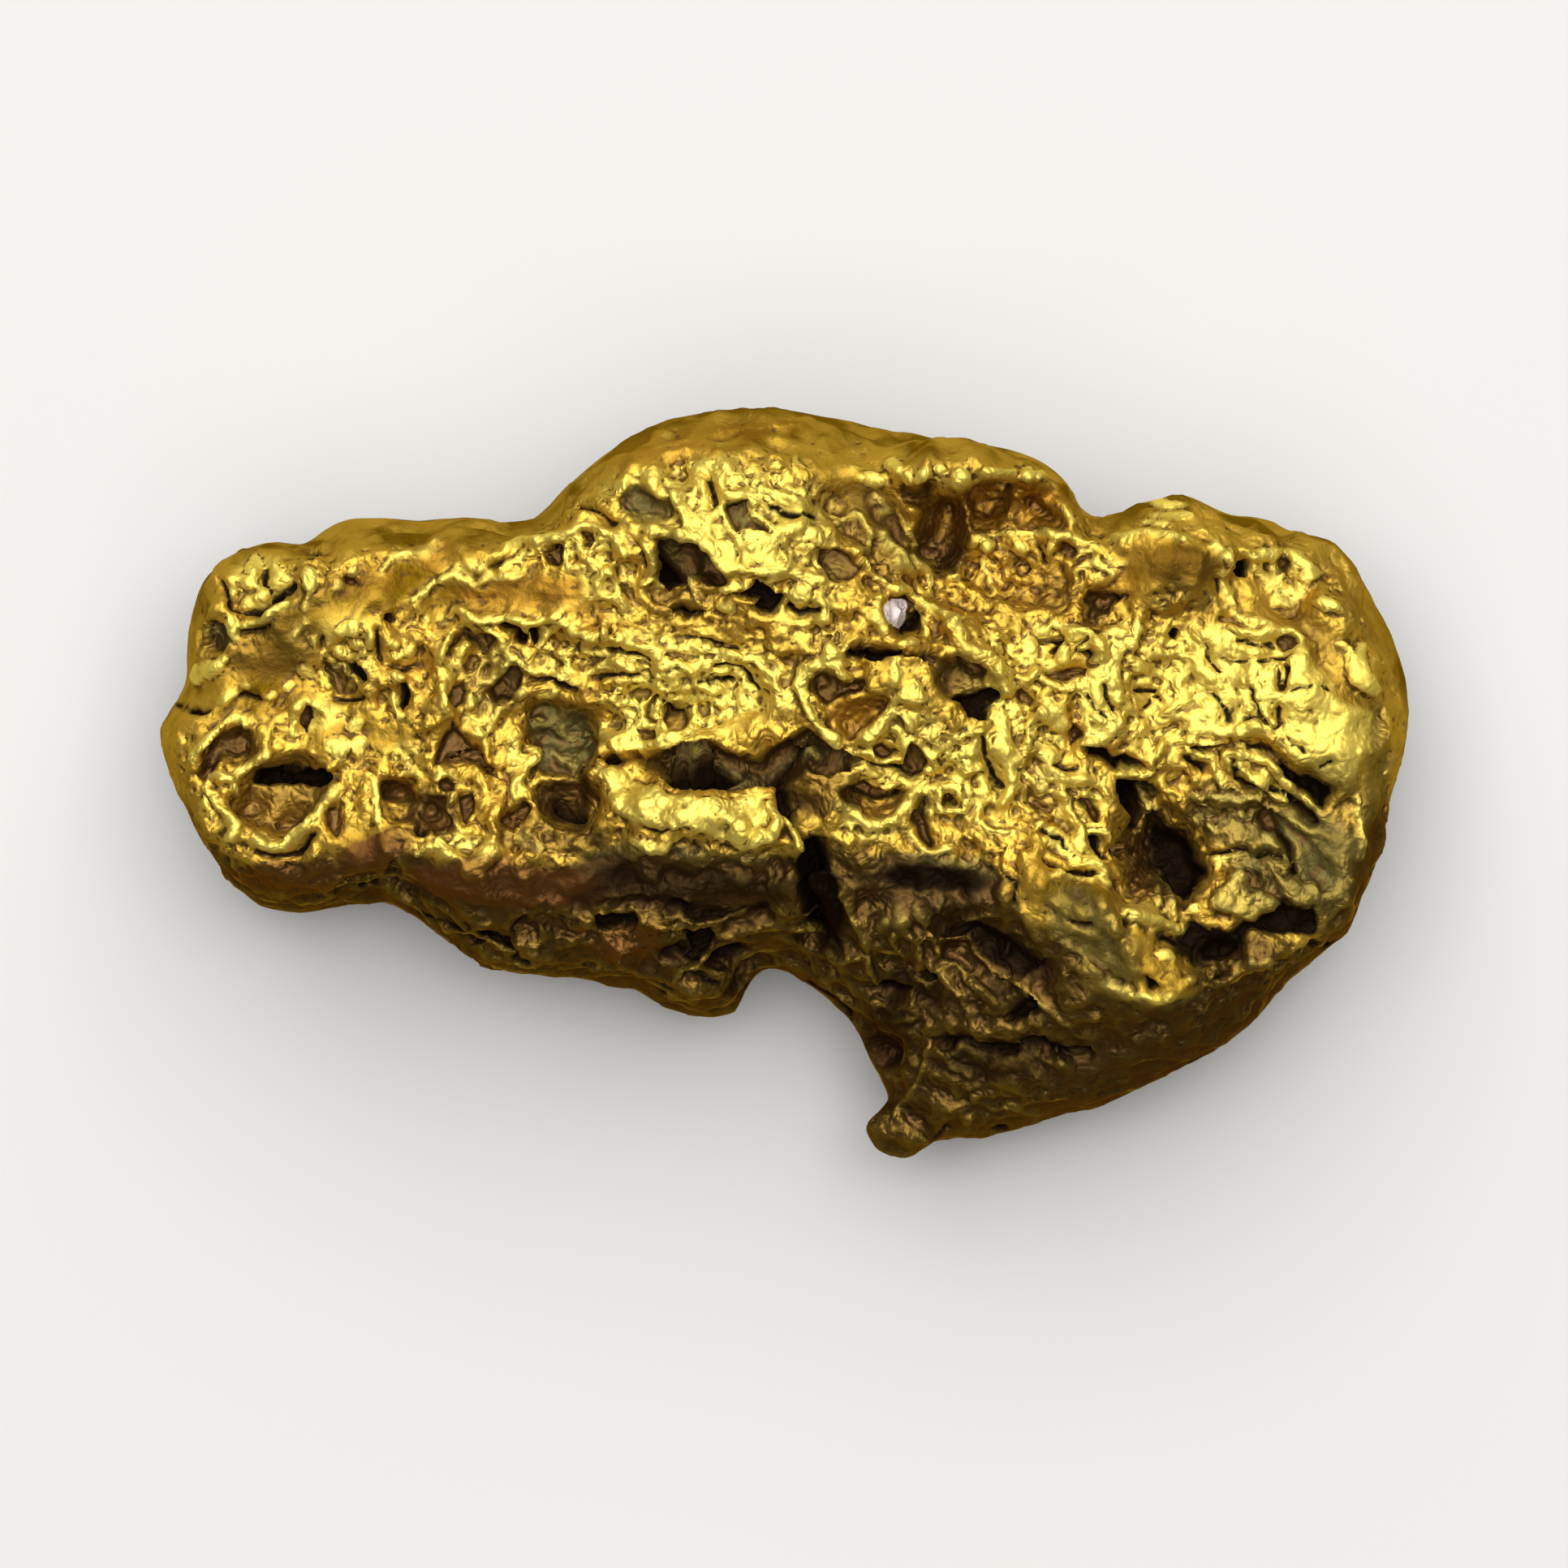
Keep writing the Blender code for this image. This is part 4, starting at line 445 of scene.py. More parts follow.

# Creases: width, depth, and the points they run through. The narrower ones are painted very dark as shade.
CREASES = (
    (0.28, 0.80, ((0.0, 0.0), (0.3, -0.6), (0.75, -1.4), (0.8, -2.1), (0.7, -2.8), (0.9, -3.8))),
    (0.14, 0.25, ((-15.2, 2.05), (-14.9, 1.95), (-14.3, 1.8))),
    (0.60, 0.60, ((1.2, 7.0), (1.9, 7.1), (2.6, 6.5), (3.0, 5.8), (3.5, 5.1))),
    (0.20, 0.40, ((4.0, -6.35), (4.5, -6.35), (5.0, -6.55), (5.6, -6.6), (6.3, -6.55), (7.4, -6.7))),
    (0.30, 0.40, ((-3.0, -4.2), (-2.0, -4.1), (-1.0, -4.3))),
    (0.36, 0.10, ((14.3, 2.0), (14.4, 0.5), (14.2, -1.0), (13.9, -2.2))),
    (0.45, 0.30, ((11.1, 5.0), (12.2, 4.35), (12.9, 3.85), (13.4, 3.1), (13.9, 2.4), (14.6, 1.95))),
    (0.36, 0.22, ((13.4, 5.4), (13.0, 4.8), (12.5, 4.3))),
    (0.36, 0.20, ((13.5, 5.6), (14.0, 4.9), (14.4, 4.2), (14.6, 3.4))),
    (0.30, 0.35, ((4.3, -3.6), (5.0, -3.7), (5.6, -4.0), (5.9, -4.4), (6.2, -4.6))),
    (0.22, 0.35, ((-2.8, -3.0), (-2.0, -3.1), (-1.2, -3.2), (-0.5, -3.0))),
    (0.10, 0.25, ((-13.0, -1.62), (-12.5, -1.75), (-11.9, -1.65), (-11.5, -1.3))),
    (0.10, 0.25, ((-13.9, 5.0), (-13.7, 4.75), (-13.4, 4.4), (-13.1, 4.2), (-12.8, 4.35), (-12.5, 4.6), (-12.1, 4.85))),
    (0.09, 0.22, ((-12.75, 5.2), (-12.75, 4.9), (-12.6, 4.6))),
    (0.09, 0.20, ((-13.2, 3.72), (-12.7, 3.85))),
    (0.08, 0.20, ((-9.85, 3.75), (-9.75, 3.4), (-9.85, 3.0))),
    (0.08, 0.18, ((-9.6, 2.95), (-9.3, 2.85), (-9.0, 2.95))),
    (0.09, 0.25, ((-11.1, 2.15), (-10.85, 2.05), (-10.4, 2.1))),
    (0.10, 0.20, ((-13.3, 2.15), (-12.8, 2.15))),
    (0.09, 0.25, ((-5.1, 0.2), (-4.9, 0.35), (-4.7, 0.55))),
    (0.10, 0.25, ((-5.6, -0.6), (-5.3, -0.75), (-4.9, -0.85))),
    (0.10, 0.25, ((-0.1, 0.8), (0.0, 0.5), (-0.3, 0.2))),
    (0.08, 0.20, ((-3.4, -1.05), (-2.9, -1.12), (-2.4, -1.1))),
    (0.08, 0.18, ((-4.6, 2.6), (-4.1, 2.62), (-3.6, 2.6))),
    (0.08, 0.18, ((-2.0, 2.4), (-1.6, 2.5), (-1.2, 2.4))),
    (0.08, 0.18, ((-1.7, 2.8), (-1.0, 2.7), (-0.7, 2.4))),
    (0.08, 0.18, ((-4.4, 3.2), (-3.7, 3.15), (-3.2, 3.1))),
    (0.08, 0.18, ((-2.4, 3.5), (-1.8, 3.45), (-1.1, 3.3))),
    (0.10, 0.25, ((-2.85, 2.0), (-2.5, 1.85), (-2.2, 1.9))),
    (0.10, 0.30, ((1.2, 0.75), (1.7, 0.6), (2.2, 0.4), (2.8, 0.3))),
    (0.09, 0.25, ((4.85, 1.1), (4.95, 0.7), (5.15, 0.2), (5.25, 0.0))),
    (0.10, 0.30, ((-5.0, 6.95), (-4.7, 6.8), (-4.4, 6.6), (-4.3, 6.45))),
    (0.09, 0.22, ((-6.0, 2.55), (-5.6, 2.6), (-5.4, 2.4))),
    (0.08, 0.20, ((-5.4, 2.35), (-5.0, 2.35))),
    (0.10, 0.40, ((-1.9, 7.5), (-1.85, 7.15), (-1.8, 6.9), (-1.9, 6.7))),
    (0.08, 0.20, ((-1.55, 6.82), (-0.9, 6.88))),
    (0.12, 0.15, ((-0.4, 6.68), (0.2, 6.6), (0.9, 6.5))),
    (0.08, 0.20, ((-3.5, 5.6), (-3.45, 5.3))),
    (0.09, 0.25, ((0.1, 4.3), (0.6, 4.2), (0.9, 4.25))),
    (0.12, 0.35, ((3.05, 4.55), (3.2, 4.25), (3.1, 4.0), (2.95, 3.95))),
    (0.10, 0.25, ((6.2, 5.9), (6.5, 5.4))),
    (0.08, 0.25, ((8.0, 4.5), (8.2, 4.53), (8.4, 4.62))),
    (0.09, 0.25, ((7.35, 3.52), (7.13, 3.4), (7.13, 3.2), (7.5, 3.13))),
    (0.08, 0.20, ((6.4, 3.5), (6.7, 3.52), (6.6, 3.25))),
    (0.08, 0.25, ((7.85, 2.4), (7.9, 2.2), (8.0, 2.0), (8.1, 1.85))),
    (0.08, 0.18, ((7.4, 2.2), (7.6, 1.9), (7.9, 1.7))),
    (0.08, 0.25, ((8.7, 2.45), (8.9, 2.4), (9.1, 2.35))),
    (0.09, 0.20, ((6.5, 0.5), (6.9, 0.4), (7.15, 0.35))),
    (0.07, 0.18, ((8.85, 1.85), (9.05, 2.2), (9.4, 2.0))),
    (0.09, 0.25, ((10.75, 5.0), (10.8, 4.75))),
    (0.08, 0.20, ((10.0, 0.8), (10.4, 0.8), (10.9, 0.88))),
    (0.10, 0.35, ((12.3, 2.95), (12.3, 2.6), (12.3, 2.42))),
    (0.08, 0.20, ((12.1, 2.85), (12.15, 2.4))),
    (0.08, 0.25, ((11.4, 2.3), (11.6, 1.9), (11.78, 1.5))),
    (0.08, 0.25, ((12.12, 1.9), (12.15, 1.6), (12.0, 1.42))),
    (0.08, 0.25, ((11.3, 1.65), (11.6, 1.6))),
    (0.08, 0.20, ((11.2, 3.6), (11.6, 3.55), (12.0, 3.48))),
    (0.08, 0.20, ((11.6, 3.12), (11.9, 3.1), (12.3, 3.18))),
    (0.07, 0.15, ((11.0, 3.1), (11.4, 3.1))),
    (0.07, 0.15, ((10.4, 3.4), (10.5, 3.05), (10.7, 2.9))),
    (0.07, 0.15, ((10.6, 2.3), (10.9, 2.0), (11.0, 1.6))),
    (0.07, 0.15, ((13.1, 0.52), (13.4, 0.57))),
    (0.07, 0.15, ((12.5, 1.02), (12.7, 1.0), (12.72, 0.85))),
    (0.07, 0.12, ((13.25, 2.35), (13.38, 2.25))),
    (0.07, 0.12, ((12.5, 2.25), (12.9, 2.3))),
    (0.10, 0.25, ((11.1, 0.55), (11.15, 0.2), (11.5, 0.0), (11.9, -0.15))),
    (0.10, 0.25, ((12.0, 0.0), (12.4, -0.35), (12.8, -0.6), (13.0, -0.8))),
    (0.10, 0.25, ((9.7, 0.6), (10.1, 0.5), (10.35, 0.38))),
    (0.12, 0.30, ((12.1, -1.2), (12.3, -1.5), (12.5, -1.8), (12.65, -2.1))),
    (0.08, 0.25, ((11.5, -1.8), (11.8, -1.7), (12.0, -1.85), (12.2, -1.85))),
    (0.08, 0.25, ((10.3, -1.7), (10.8, -1.65), (11.2, -1.6))),
    (0.10, 0.30, ((13.0, -3.85), (13.4, -3.93), (13.85, -3.92))),
    (0.10, 0.35, ((6.4, -1.8), (6.7, -2.0), (7.0, -2.15), (7.3, -2.2), (7.6, -2.1))),
    (0.07, 0.15, ((6.3, -1.1), (6.7, -1.38), (7.05, -1.72))),
    (0.08, 0.20, ((7.0, -3.4), (7.5, -3.45))),
    (0.08, 0.25, ((-6.7, -3.7), (-6.6, -3.4), (-6.5, -3.25))),
    (0.08, 0.20, ((-2.4, -4.68), (-1.9, -4.78), (-1.5, -4.95))),
    (0.12, 0.35, ((0.72, -2.2), (0.7, -2.9))),
    (0.12, 0.30, ((2.3, -5.2), (2.7, -5.15), (3.0, -5.1))),
    (0.08, 0.20, ((4.1, -8.5), (3.9, -8.7), (3.7, -8.9))),
    (0.09, 0.20, ((0.6, -4.9), (1.1, -5.2), (1.6, -5.7))),
    (0.08, 0.18, ((5.4, -2.2), (5.6, -2.5), (5.6, -2.8))),
    (0.08, 0.15, ((-9.0, -3.25), (-8.4, -3.45), (-7.9, -3.7))),
)

# Ridges: width, height, and the points they run through. The narrowest carry a painted highlight along the crest.
RIDGES = (
    (0.75, 0.35, ((-4.5, 0.1), (-3.5, -0.4), (-2.0, -0.8), (-0.6, -1.2), (0.0, -1.0))),
    (0.40, 0.25, ((-4.3, 0.85), (-3.3, 0.95), (-2.6, 1.05), (-1.5, 1.15), (-0.7, 1.2))),
    (0.90, 0.60, ((6.4, -2.2), (8.0, -3.5), (9.3, -5.0))),
    (0.34, 0.30, ((-7.6, 4.0), (-6.0, 4.0), (-5.5, 4.05), (-4.8, 3.6), (-3.4, 3.4))),
    (0.34, 0.30, ((-8.3, 3.6), (-8.4, 2.5), (-8.2, 1.8))),
    (0.11, 0.27, ((-10.95, -0.15), (-11.15, -0.4), (-11.35, -0.75), (-11.6, -1.1), (-11.9, -1.35), (-12.3, -1.52),
                  (-12.7, -1.5), (-13.1, -1.3))),
    (0.12, 0.27, ((-14.1, -0.1), (-13.85, -0.35), (-13.6, -0.6), (-13.45, -0.9), (-13.6, -1.2))),
    (0.07, 0.15, ((-14.2, -0.35), (-14.0, -0.6), (-13.9, -0.75))),
    (0.09, 0.21, ((-13.6, 0.0), (-13.3, 0.3), (-12.9, 0.55), (-12.6, 0.8))),
    (0.10, 0.24, ((-14.45, 0.6), (-14.1, 1.0), (-13.8, 1.4), (-13.5, 1.7), (-13.2, 1.6), (-13.1, 1.45))),
    (0.09, 0.17, ((-13.8, 1.95), (-13.4, 2.2))),
    (0.07, 0.15, ((-14.0, 0.1), (-13.7, 0.2), (-13.4, 0.0), (-13.3, -0.25))),
    (0.09, 0.21, ((-12.0, 1.2), (-12.05, 1.7), (-11.8, 2.08), (-11.5, 2.0), (-11.3, 1.8))),
    (0.07, 0.17, ((-10.05, 0.0), (-10.0, -0.4), (-9.95, -0.8))),
    (0.07, 0.19, ((-9.75, -1.6), (-9.4, -1.75), (-9.2, -2.05), (-9.35, -2.3), (-9.5, -2.7), (-9.2, -2.95))),
    (0.09, 0.19, ((-13.2, 3.85), (-12.8, 4.02), (-12.5, 4.3), (-12.1, 4.42))),
    (0.08, 0.15, ((-11.5, 4.75), (-11.7, 4.3))),
    (0.09, 0.19, ((-9.8, 5.2), (-9.55, 5.5), (-9.3, 5.65), (-8.85, 5.7), (-8.5, 5.9))),
    (0.08, 0.17, ((-9.0, 4.6), (-8.6, 4.9), (-8.4, 5.0))),
    (0.07, 0.15, ((-11.97, 3.6), (-11.7, 3.9))),
    (0.07, 0.15, ((-9.55, 2.2), (-9.3, 1.78))),
    (0.07, 0.11, ((-5.9, 1.6), (-5.5, 1.3), (-5.0, 1.15))),
    (0.07, 0.11, ((-5.6, 0.8), (-5.3, 0.6), (-5.0, 0.35))),
    (0.10, 0.28, ((-6.1, 0.9), (-6.15, 0.7), (-6.3, 0.4), (-6.5, 0.15), (-6.5, -0.3))),
    (0.16, 0.28, ((-6.9, 0.0), (-7.0, -0.5), (-7.05, -1.2), (-7.2, -1.6), (-7.6, -2.0), (-7.95, -1.75), (-8.15, -1.6))),
    (0.07, 0.17, ((-8.4, 0.27), (-8.3, 0.42), (-8.1, 0.47), (-7.88, 0.17))),
    (0.08, 0.19, ((-8.05, -0.2), (-8.15, -0.6), (-7.95, -0.98))),
    (0.07, 0.15, ((-8.9, -1.62), (-8.4, -1.52))),
    (0.07, 0.15, ((-7.5, 1.3), (-7.2, 1.5), (-6.9, 1.9))),
    (0.07, 0.17, ((-8.45, 2.4), (-8.3, 2.0), (-8.2, 1.65))),
    (0.07, 0.13, ((-2.05, 0.6), (-2.05, 0.1))),
    (0.07, 0.19, ((0.4, 0.3), (0.7, 0.6), (1.1, 0.65))),
    (0.08, 0.15, ((-3.6, -1.4), (-3.2, -1.5), (-2.9, -1.35))),
    (0.07, 0.15, ((-2.0, -0.45), (-1.6, -0.4))),
    (0.11, 0.24, ((-0.35, -0.55), (-0.1, -0.85), (-0.3, -1.2), (-0.7, -1.3))),
    (0.14, 0.38, ((0.12, -0.75), (0.33, -1.1), (0.53, -1.65))),
    (0.08, 0.15, ((-4.8, 2.75), (-4.2, 2.95), (-3.6, 2.75))),
    (0.08, 0.15, ((-3.5, 3.5), (-2.9, 3.3), (-2.5, 3.2))),
    (0.08, 0.17, ((-3.0, 2.9), (-2.6, 2.9), (-2.2, 2.7), (-2.1, 2.4), (-1.6, 2.2))),
    (0.08, 0.15, ((-1.4, 3.1), (-0.8, 3.0), (-0.3, 2.7), (-0.1, 2.3))),
    (0.08, 0.17, ((-3.0, 1.5), (-2.9, 1.3), (-3.0, 1.0), (-3.5, 0.85), (-4.1, 0.8))),
    (0.08, 0.17, ((-2.15, 2.0), (-2.05, 1.6), (-2.3, 1.25), (-2.7, 1.2))),
    (0.08, 0.17, ((2.8, 3.0), (2.75, 2.45))),
    (0.16, 0.38, ((4.1, 3.8), (4.5, 3.3), (5.0, 3.1), (5.3, 2.7), (5.55, 2.3))),
    (0.07, 0.17, ((2.0, 0.95), (2.1, 0.7), (2.4, 0.55), (2.75, 0.65), (2.95, 0.98), (3.2, 1.08), (3.5, 0.92),
                  (3.65, 0.6), (3.75, 0.35))),
    (0.08, 0.19, ((2.1, 1.1), (2.5, 1.4), (2.7, 1.75), (2.9, 1.85), (3.1, 1.6), (3.2, 1.35))),
    (0.10, 0.24, ((1.35, -0.5), (1.7, -0.87), (2.3, -1.02), (2.75, -0.87), (3.0, -0.5), (3.2, -0.27))),
    (0.08, 0.19, ((3.05, -1.0), (3.3, -1.3), (3.5, -1.62), (3.75, -1.67), (3.95, -1.5))),
    (0.09, 0.27, ((4.08, 0.0), (4.35, -0.1), (4.46, -0.38), (4.35, -0.66), (4.08, -0.76), (3.8, -0.66), (3.7, -0.38),
                  (3.8, -0.1), (4.08, 0.0))),
    (0.16, 0.27, ((5.3, 1.6), (5.5, 0.8), (5.5, 0.0), (5.4, -0.35))),
    (0.07, 0.15, ((4.2, 1.15), (4.8, 1.35))),
    (0.07, 0.15, ((4.5, 0.2), (4.9, 0.35))),
    (0.08, 0.17, ((4.7, -0.9), (5.2, -1.1), (5.6, -1.0))),
    (0.09, 0.19, ((-6.8, 5.8), (-6.2, 5.95), (-5.6, 6.08), (-5.25, 6.15), (-4.9, 6.33), (-4.6, 6.3), (-4.2, 6.1),
                  (-4.05, 5.85), (-3.9, 5.6))),
    (0.10, 0.19, ((-8.3, 5.03), (-7.95, 5.13), (-7.6, 4.95), (-7.35, 4.78), (-7.1, 5.0), (-6.6, 5.1), (-6.3, 5.06))),
    (0.08, 0.17, ((-5.3, 5.9), (-5.35, 5.5), (-5.2, 5.3), (-5.05, 5.28))),
    (0.08, 0.19, ((-4.5, 4.7), (-4.5, 5.0), (-4.25, 5.2), (-4.05, 5.0), (-4.1, 4.7))),
    (0.07, 0.15, ((-4.7, 4.55), (-4.2, 4.6), (-3.9, 4.5))),
    (0.09, 0.21, ((-8.2, 4.2), (-8.0, 4.28), (-7.6, 4.1), (-7.3, 3.99), (-6.9, 4.0), (-6.5, 4.09), (-6.2, 4.03),
                  (-5.8, 4.12), (-5.45, 4.2))),
    (0.09, 0.19, ((-6.0, 3.55), (-5.75, 3.78), (-5.5, 3.97), (-5.3, 3.87), (-5.1, 3.6), (-4.9, 3.55), (-4.65, 3.55))),
    (0.07, 0.17, ((-4.38, 3.9), (-4.42, 3.5))),
    (0.07, 0.15, ((-8.4, 2.95), (-8.28, 3.45), (-8.1, 3.7))),
    (0.07, 0.15, ((-7.3, 3.9), (-7.08, 3.6), (-6.9, 3.3), (-7.05, 3.1))),
    (0.07, 0.15, ((-7.95, 2.75), (-7.92, 3.1), (-7.75, 3.38))),
    (0.07, 0.15, ((-7.5, 2.45), (-7.15, 2.55), (-6.95, 2.85), (-6.8, 2.98))),
    (0.09, 0.19, ((-6.85, 3.15), (-6.5, 3.08), (-6.2, 2.88), (-5.9, 2.73))),
    (0.07, 0.15, ((-5.7, 2.72), (-5.4, 2.6), (-5.05, 2.5))),
    (0.07, 0.15, ((-5.9, 2.12), (-5.6, 2.17), (-5.4, 2.3))),
    (0.12, 0.24, ((-2.6, 7.0), (-2.45, 6.6), (-2.4, 6.1))),
    (0.07, 0.15, ((-1.5, 6.97), (-0.95, 7.0))),
    (0.11, 0.27, ((-3.3, 6.2), (-3.1, 6.07), (-2.6, 6.02), (-2.1, 5.98), (-1.75, 5.8), (-1.6, 5.42), (-1.4, 5.25),
                  (-1.0, 5.25))),
    (0.07, 0.13, ((-2.45, 5.4), (-2.45, 5.05))),
    (0.07, 0.17, ((-2.15, 5.3), (-2.2, 4.9), (-2.1, 4.6), (-1.95, 4.42))),
    (0.08, 0.17, ((-0.8, 5.2), (-0.4, 5.15), (0.0, 5.15))),
    (0.07, 0.15, ((-3.45, 5.9), (-3.3, 5.6), (-3.1, 5.2))),
    (0.07, 0.15, ((-3.4, 4.85), (-3.0, 5.02), (-2.8, 4.8))),
    (0.07, 0.13, ((3.4, 5.95), (3.7, 5.85), (4.0, 6.1))),
    (0.07, 0.11, ((5.0, 7.1), (5.6, 7.15))),
    (0.09, 0.19, ((5.0, 7.65), (5.6, 7.65))),
    (0.07, 0.13, ((2.2, 7.0), (2.5, 6.6))),
    (0.07, 0.13, ((2.8, 6.7), (3.0, 6.3), (3.15, 5.9))),
    (0.07, 0.13, ((3.1, 5.6), (3.4, 5.25), (3.6, 4.85))),
    (0.14, 0.28, ((2.35, 6.1), (2.7, 5.7), (2.9, 5.25))),
    (0.08, 0.19, ((1.7, 6.55), (2.0, 6.4), (2.15, 6.1), (2.05, 5.72), (1.7, 5.65))),
    (0.08, 0.17, ((1.95, 5.5), (2.1, 5.2), (2.35, 4.97), (2.6, 4.87))),
    (0.10, 0.28, ((2.65, 4.85), (2.92, 4.77), (3.2, 4.72), (3.55, 4.45), (3.9, 4.17), (4.3, 3.86), (4.45, 3.66))),
    (0.09, 0.21, ((2.35, 4.6), (2.22, 4.1), (2.5, 3.7))),
    (0.07, 0.17, ((3.2, 4.4), (3.32, 4.15), (3.35, 3.9), (3.45, 3.75))),
    (0.07, 0.15, ((4.9, 5.4), (4.95, 4.9), (5.05, 4.8))),
    (0.07, 0.15, ((4.0, 5.15), (4.2, 5.1))),
    (0.07, 0.13, ((4.7, 6.02), (5.5, 6.12), (6.5, 6.12), (7.3, 6.0), (7.6, 6.0))),
    (0.07, 0.11, ((6.9, 6.8), (7.15, 6.4))),
    (0.10, 0.27, ((7.25, 5.0), (7.2, 5.25), (7.45, 5.42), (7.8, 5.42), (8.0, 5.2), (7.97, 5.0))),
    (0.08, 0.13, ((7.1, 5.7), (7.4, 5.75))),
    (0.14, 0.21, ((7.0, 3.75), (7.4, 3.68), (7.6, 3.4), (7.72, 3.1))),
    (0.07, 0.17, ((6.45, 2.5), (6.7, 2.42), (7.0, 2.37))),
    (0.07, 0.15, ((10.45, 6.0), (10.7, 5.7), (10.85, 5.4), (10.8, 5.15))),
    (0.07, 0.15, ((10.85, 4.95), (11.0, 4.7), (11.1, 4.4))),
    (0.08, 0.11, ((8.1, 6.0), (8.6, 6.07), (9.2, 6.07), (9.8, 6.1))),
    (0.07, 0.19, ((12.42, 3.1), (12.47, 2.7), (12.5, 2.4))),
    (0.09, 0.21, ((11.5, 2.3), (11.7, 2.0), (11.87, 1.6), (11.95, 1.5))),
    (0.09, 0.19, ((11.0, 3.87), (11.6, 3.82), (12.2, 3.8), (12.6, 3.57))),
    (0.08, 0.15, ((11.1, 4.15), (11.6, 4.1), (12.0, 3.95))),
    (0.08, 0.19, ((11.0, 0.75), (11.5, 0.6), (11.9, 0.5), (12.1, 0.3), (12.4, -0.1), (12.8, -0.45), (13.2, -0.75))),
    (0.09, 0.21, ((10.9, 0.65), (11.3, 0.32), (11.7, 0.05), (12.0, -0.15), (12.3, -0.4))),
    (0.08, 0.17, ((9.9, 0.68), (10.5, 0.55), (10.8, 0.3), (10.95, -0.1))),
    (0.08, 0.17, ((12.45, -0.8), (12.8, -1.0), (13.0, -1.2))),
    (0.08, 0.15, ((9.9, 0.95), (10.4, 0.97), (10.9, 1.0))),
    (0.07, 0.15, ((10.6, -0.3), (11.2, -0.35), (11.5, -0.28))),
    (0.07, 0.15, ((11.4, -2.8), (11.75, -2.75))),
    (0.07, 0.15, ((12.5, -3.3), (12.7, -3.42), (12.9, -3.45))),
    (0.07, 0.11, ((14.1, -0.3), (14.2, -0.9), (14.2, -1.4), (14.15, -1.85))),
    (0.08, 0.15, ((13.1, -3.72), (13.6, -3.76))),
    (0.08, 0.21, ((8.2, 0.1), (8.5, 0.2), (8.8, 0.2), (9.0, 0.37), (8.92, 0.62))),
    (0.08, 0.19, ((9.1, 0.75), (9.3, 1.1))),
    (0.07, 0.15, ((8.8, -0.55), (9.2, -0.62))),
    (0.08, 0.21, ((9.2, -2.5), (9.3, -2.8), (9.42, -3.1))),
    (0.07, 0.17, ((9.0, -2.6), (9.1, -2.9))),
    (0.12, 0.24, ((8.45, -3.05), (8.7, -3.2), (9.0, -3.35), (9.4, -3.4), (9.8, -3.6))),
    (0.16, 0.24, ((6.5, 0.4), (6.9, 0.1), (7.5, 0.1), (8.0, -0.2), (8.2, -0.8))),
    (0.13, 0.24, ((6.8, -0.3), (7.1, -0.9), (7.1, -1.4), (7.4, -1.77), (7.7, -2.02), (7.85, -2.45))),
    (0.07, 0.17, ((7.4, -1.1), (7.8, -1.1), (7.82, -1.25))),
    (0.07, 0.13, ((6.7, -2.17), (7.0, -2.32), (7.4, -2.33), (7.62, -2.22))),
    (0.07, 0.13, ((6.2, -0.95), (6.6, -1.2), (7.0, -1.6), (7.2, -1.8))),
    (0.07, 0.13, ((6.4, -1.3), (6.8, -1.55), (7.1, -1.82))),
    (0.16, 0.19, ((7.95, -3.1), (8.1, -3.5), (8.4, -4.0))),
    (0.11, 0.19, ((8.0, -4.9), (8.6, -5.1), (9.1, -5.25), (9.5, -5.2))),
    (0.07, 0.10, ((-6.6, -2.2), (-6.3, -2.15))),
    (0.07, 0.13, ((-4.5, -3.12), (-4.0, -3.18), (-3.7, -3.1))),
    (0.07, 0.15, ((-2.6, -3.58), (-2.35, -3.62), (-2.15, -3.45))),
    (0.07, 0.17, ((-2.65, -4.72), (-2.3, -4.52), (-1.9, -4.6), (-1.55, -4.75))),
    (0.07, 0.15, ((-0.37, -2.1), (-0.3, -2.5), (-0.1, -2.8))),
    (0.09, 0.21, ((1.2, -2.7), (1.5, -2.6), (1.7, -2.95), (1.8, -3.4), (1.95, -3.8), (2.0, -4.1))),
    (0.07, 0.17, ((2.0, -4.3), (2.1, -4.7), (2.3, -5.0))),
    (0.07, 0.15, ((4.5, -3.32), (4.9, -3.12), (5.2, -3.1))),
    (0.07, 0.17, ((2.7, -3.85), (2.95, -4.3), (3.2, -4.6), (3.5, -4.95))),
    (0.07, 0.17, ((3.65, -4.4), (3.95, -4.7), (4.1, -5.0), (4.3, -5.2))),
    (0.07, 0.17, ((4.05, -4.35), (4.35, -4.6), (4.6, -4.9), (4.9, -5.0))),
    (0.19, 0.28, ((5.4, -2.6), (5.7, -3.0), (6.0, -3.3), (6.3, -3.8))),
    (0.07, 0.15, ((6.0, -5.02), (6.3, -5.4), (6.7, -5.8), (7.0, -6.0))),
    (0.07, 0.13, ((7.0, -6.52), (7.6, -6.62))),
    (0.07, 0.13, ((6.2, -6.75), (6.7, -6.9), (7.0, -7.15))),
    (0.07, 0.13, ((4.3, -6.9), (4.6, -7.0), (4.75, -7.15))),
    (0.08, 0.17, ((4.9, -7.87), (5.3, -7.97), (5.8, -7.97), (6.3, -8.07), (6.9, -7.97))),
    (0.10, 0.24, ((3.7, -6.45), (3.5, -6.9), (3.35, -7.3), (3.1, -7.7), (2.85, -8.1))),
    (0.07, 0.13, ((3.05, -6.4), (3.15, -6.8), (3.25, -6.87))),
    (0.07, 0.17, ((2.2, -5.35), (2.35, -5.7), (2.8, -5.8), (3.1, -5.8))),
    (0.07, 0.17, ((1.0, -4.75), (1.2, -5.0), (1.4, -5.35), (1.8, -5.65))),
    (0.07, 0.13, ((1.0, -4.1), (1.3, -4.4), (1.8, -4.35))),
    (0.07, 0.13, ((3.42, -8.6), (3.65, -8.88))),
)
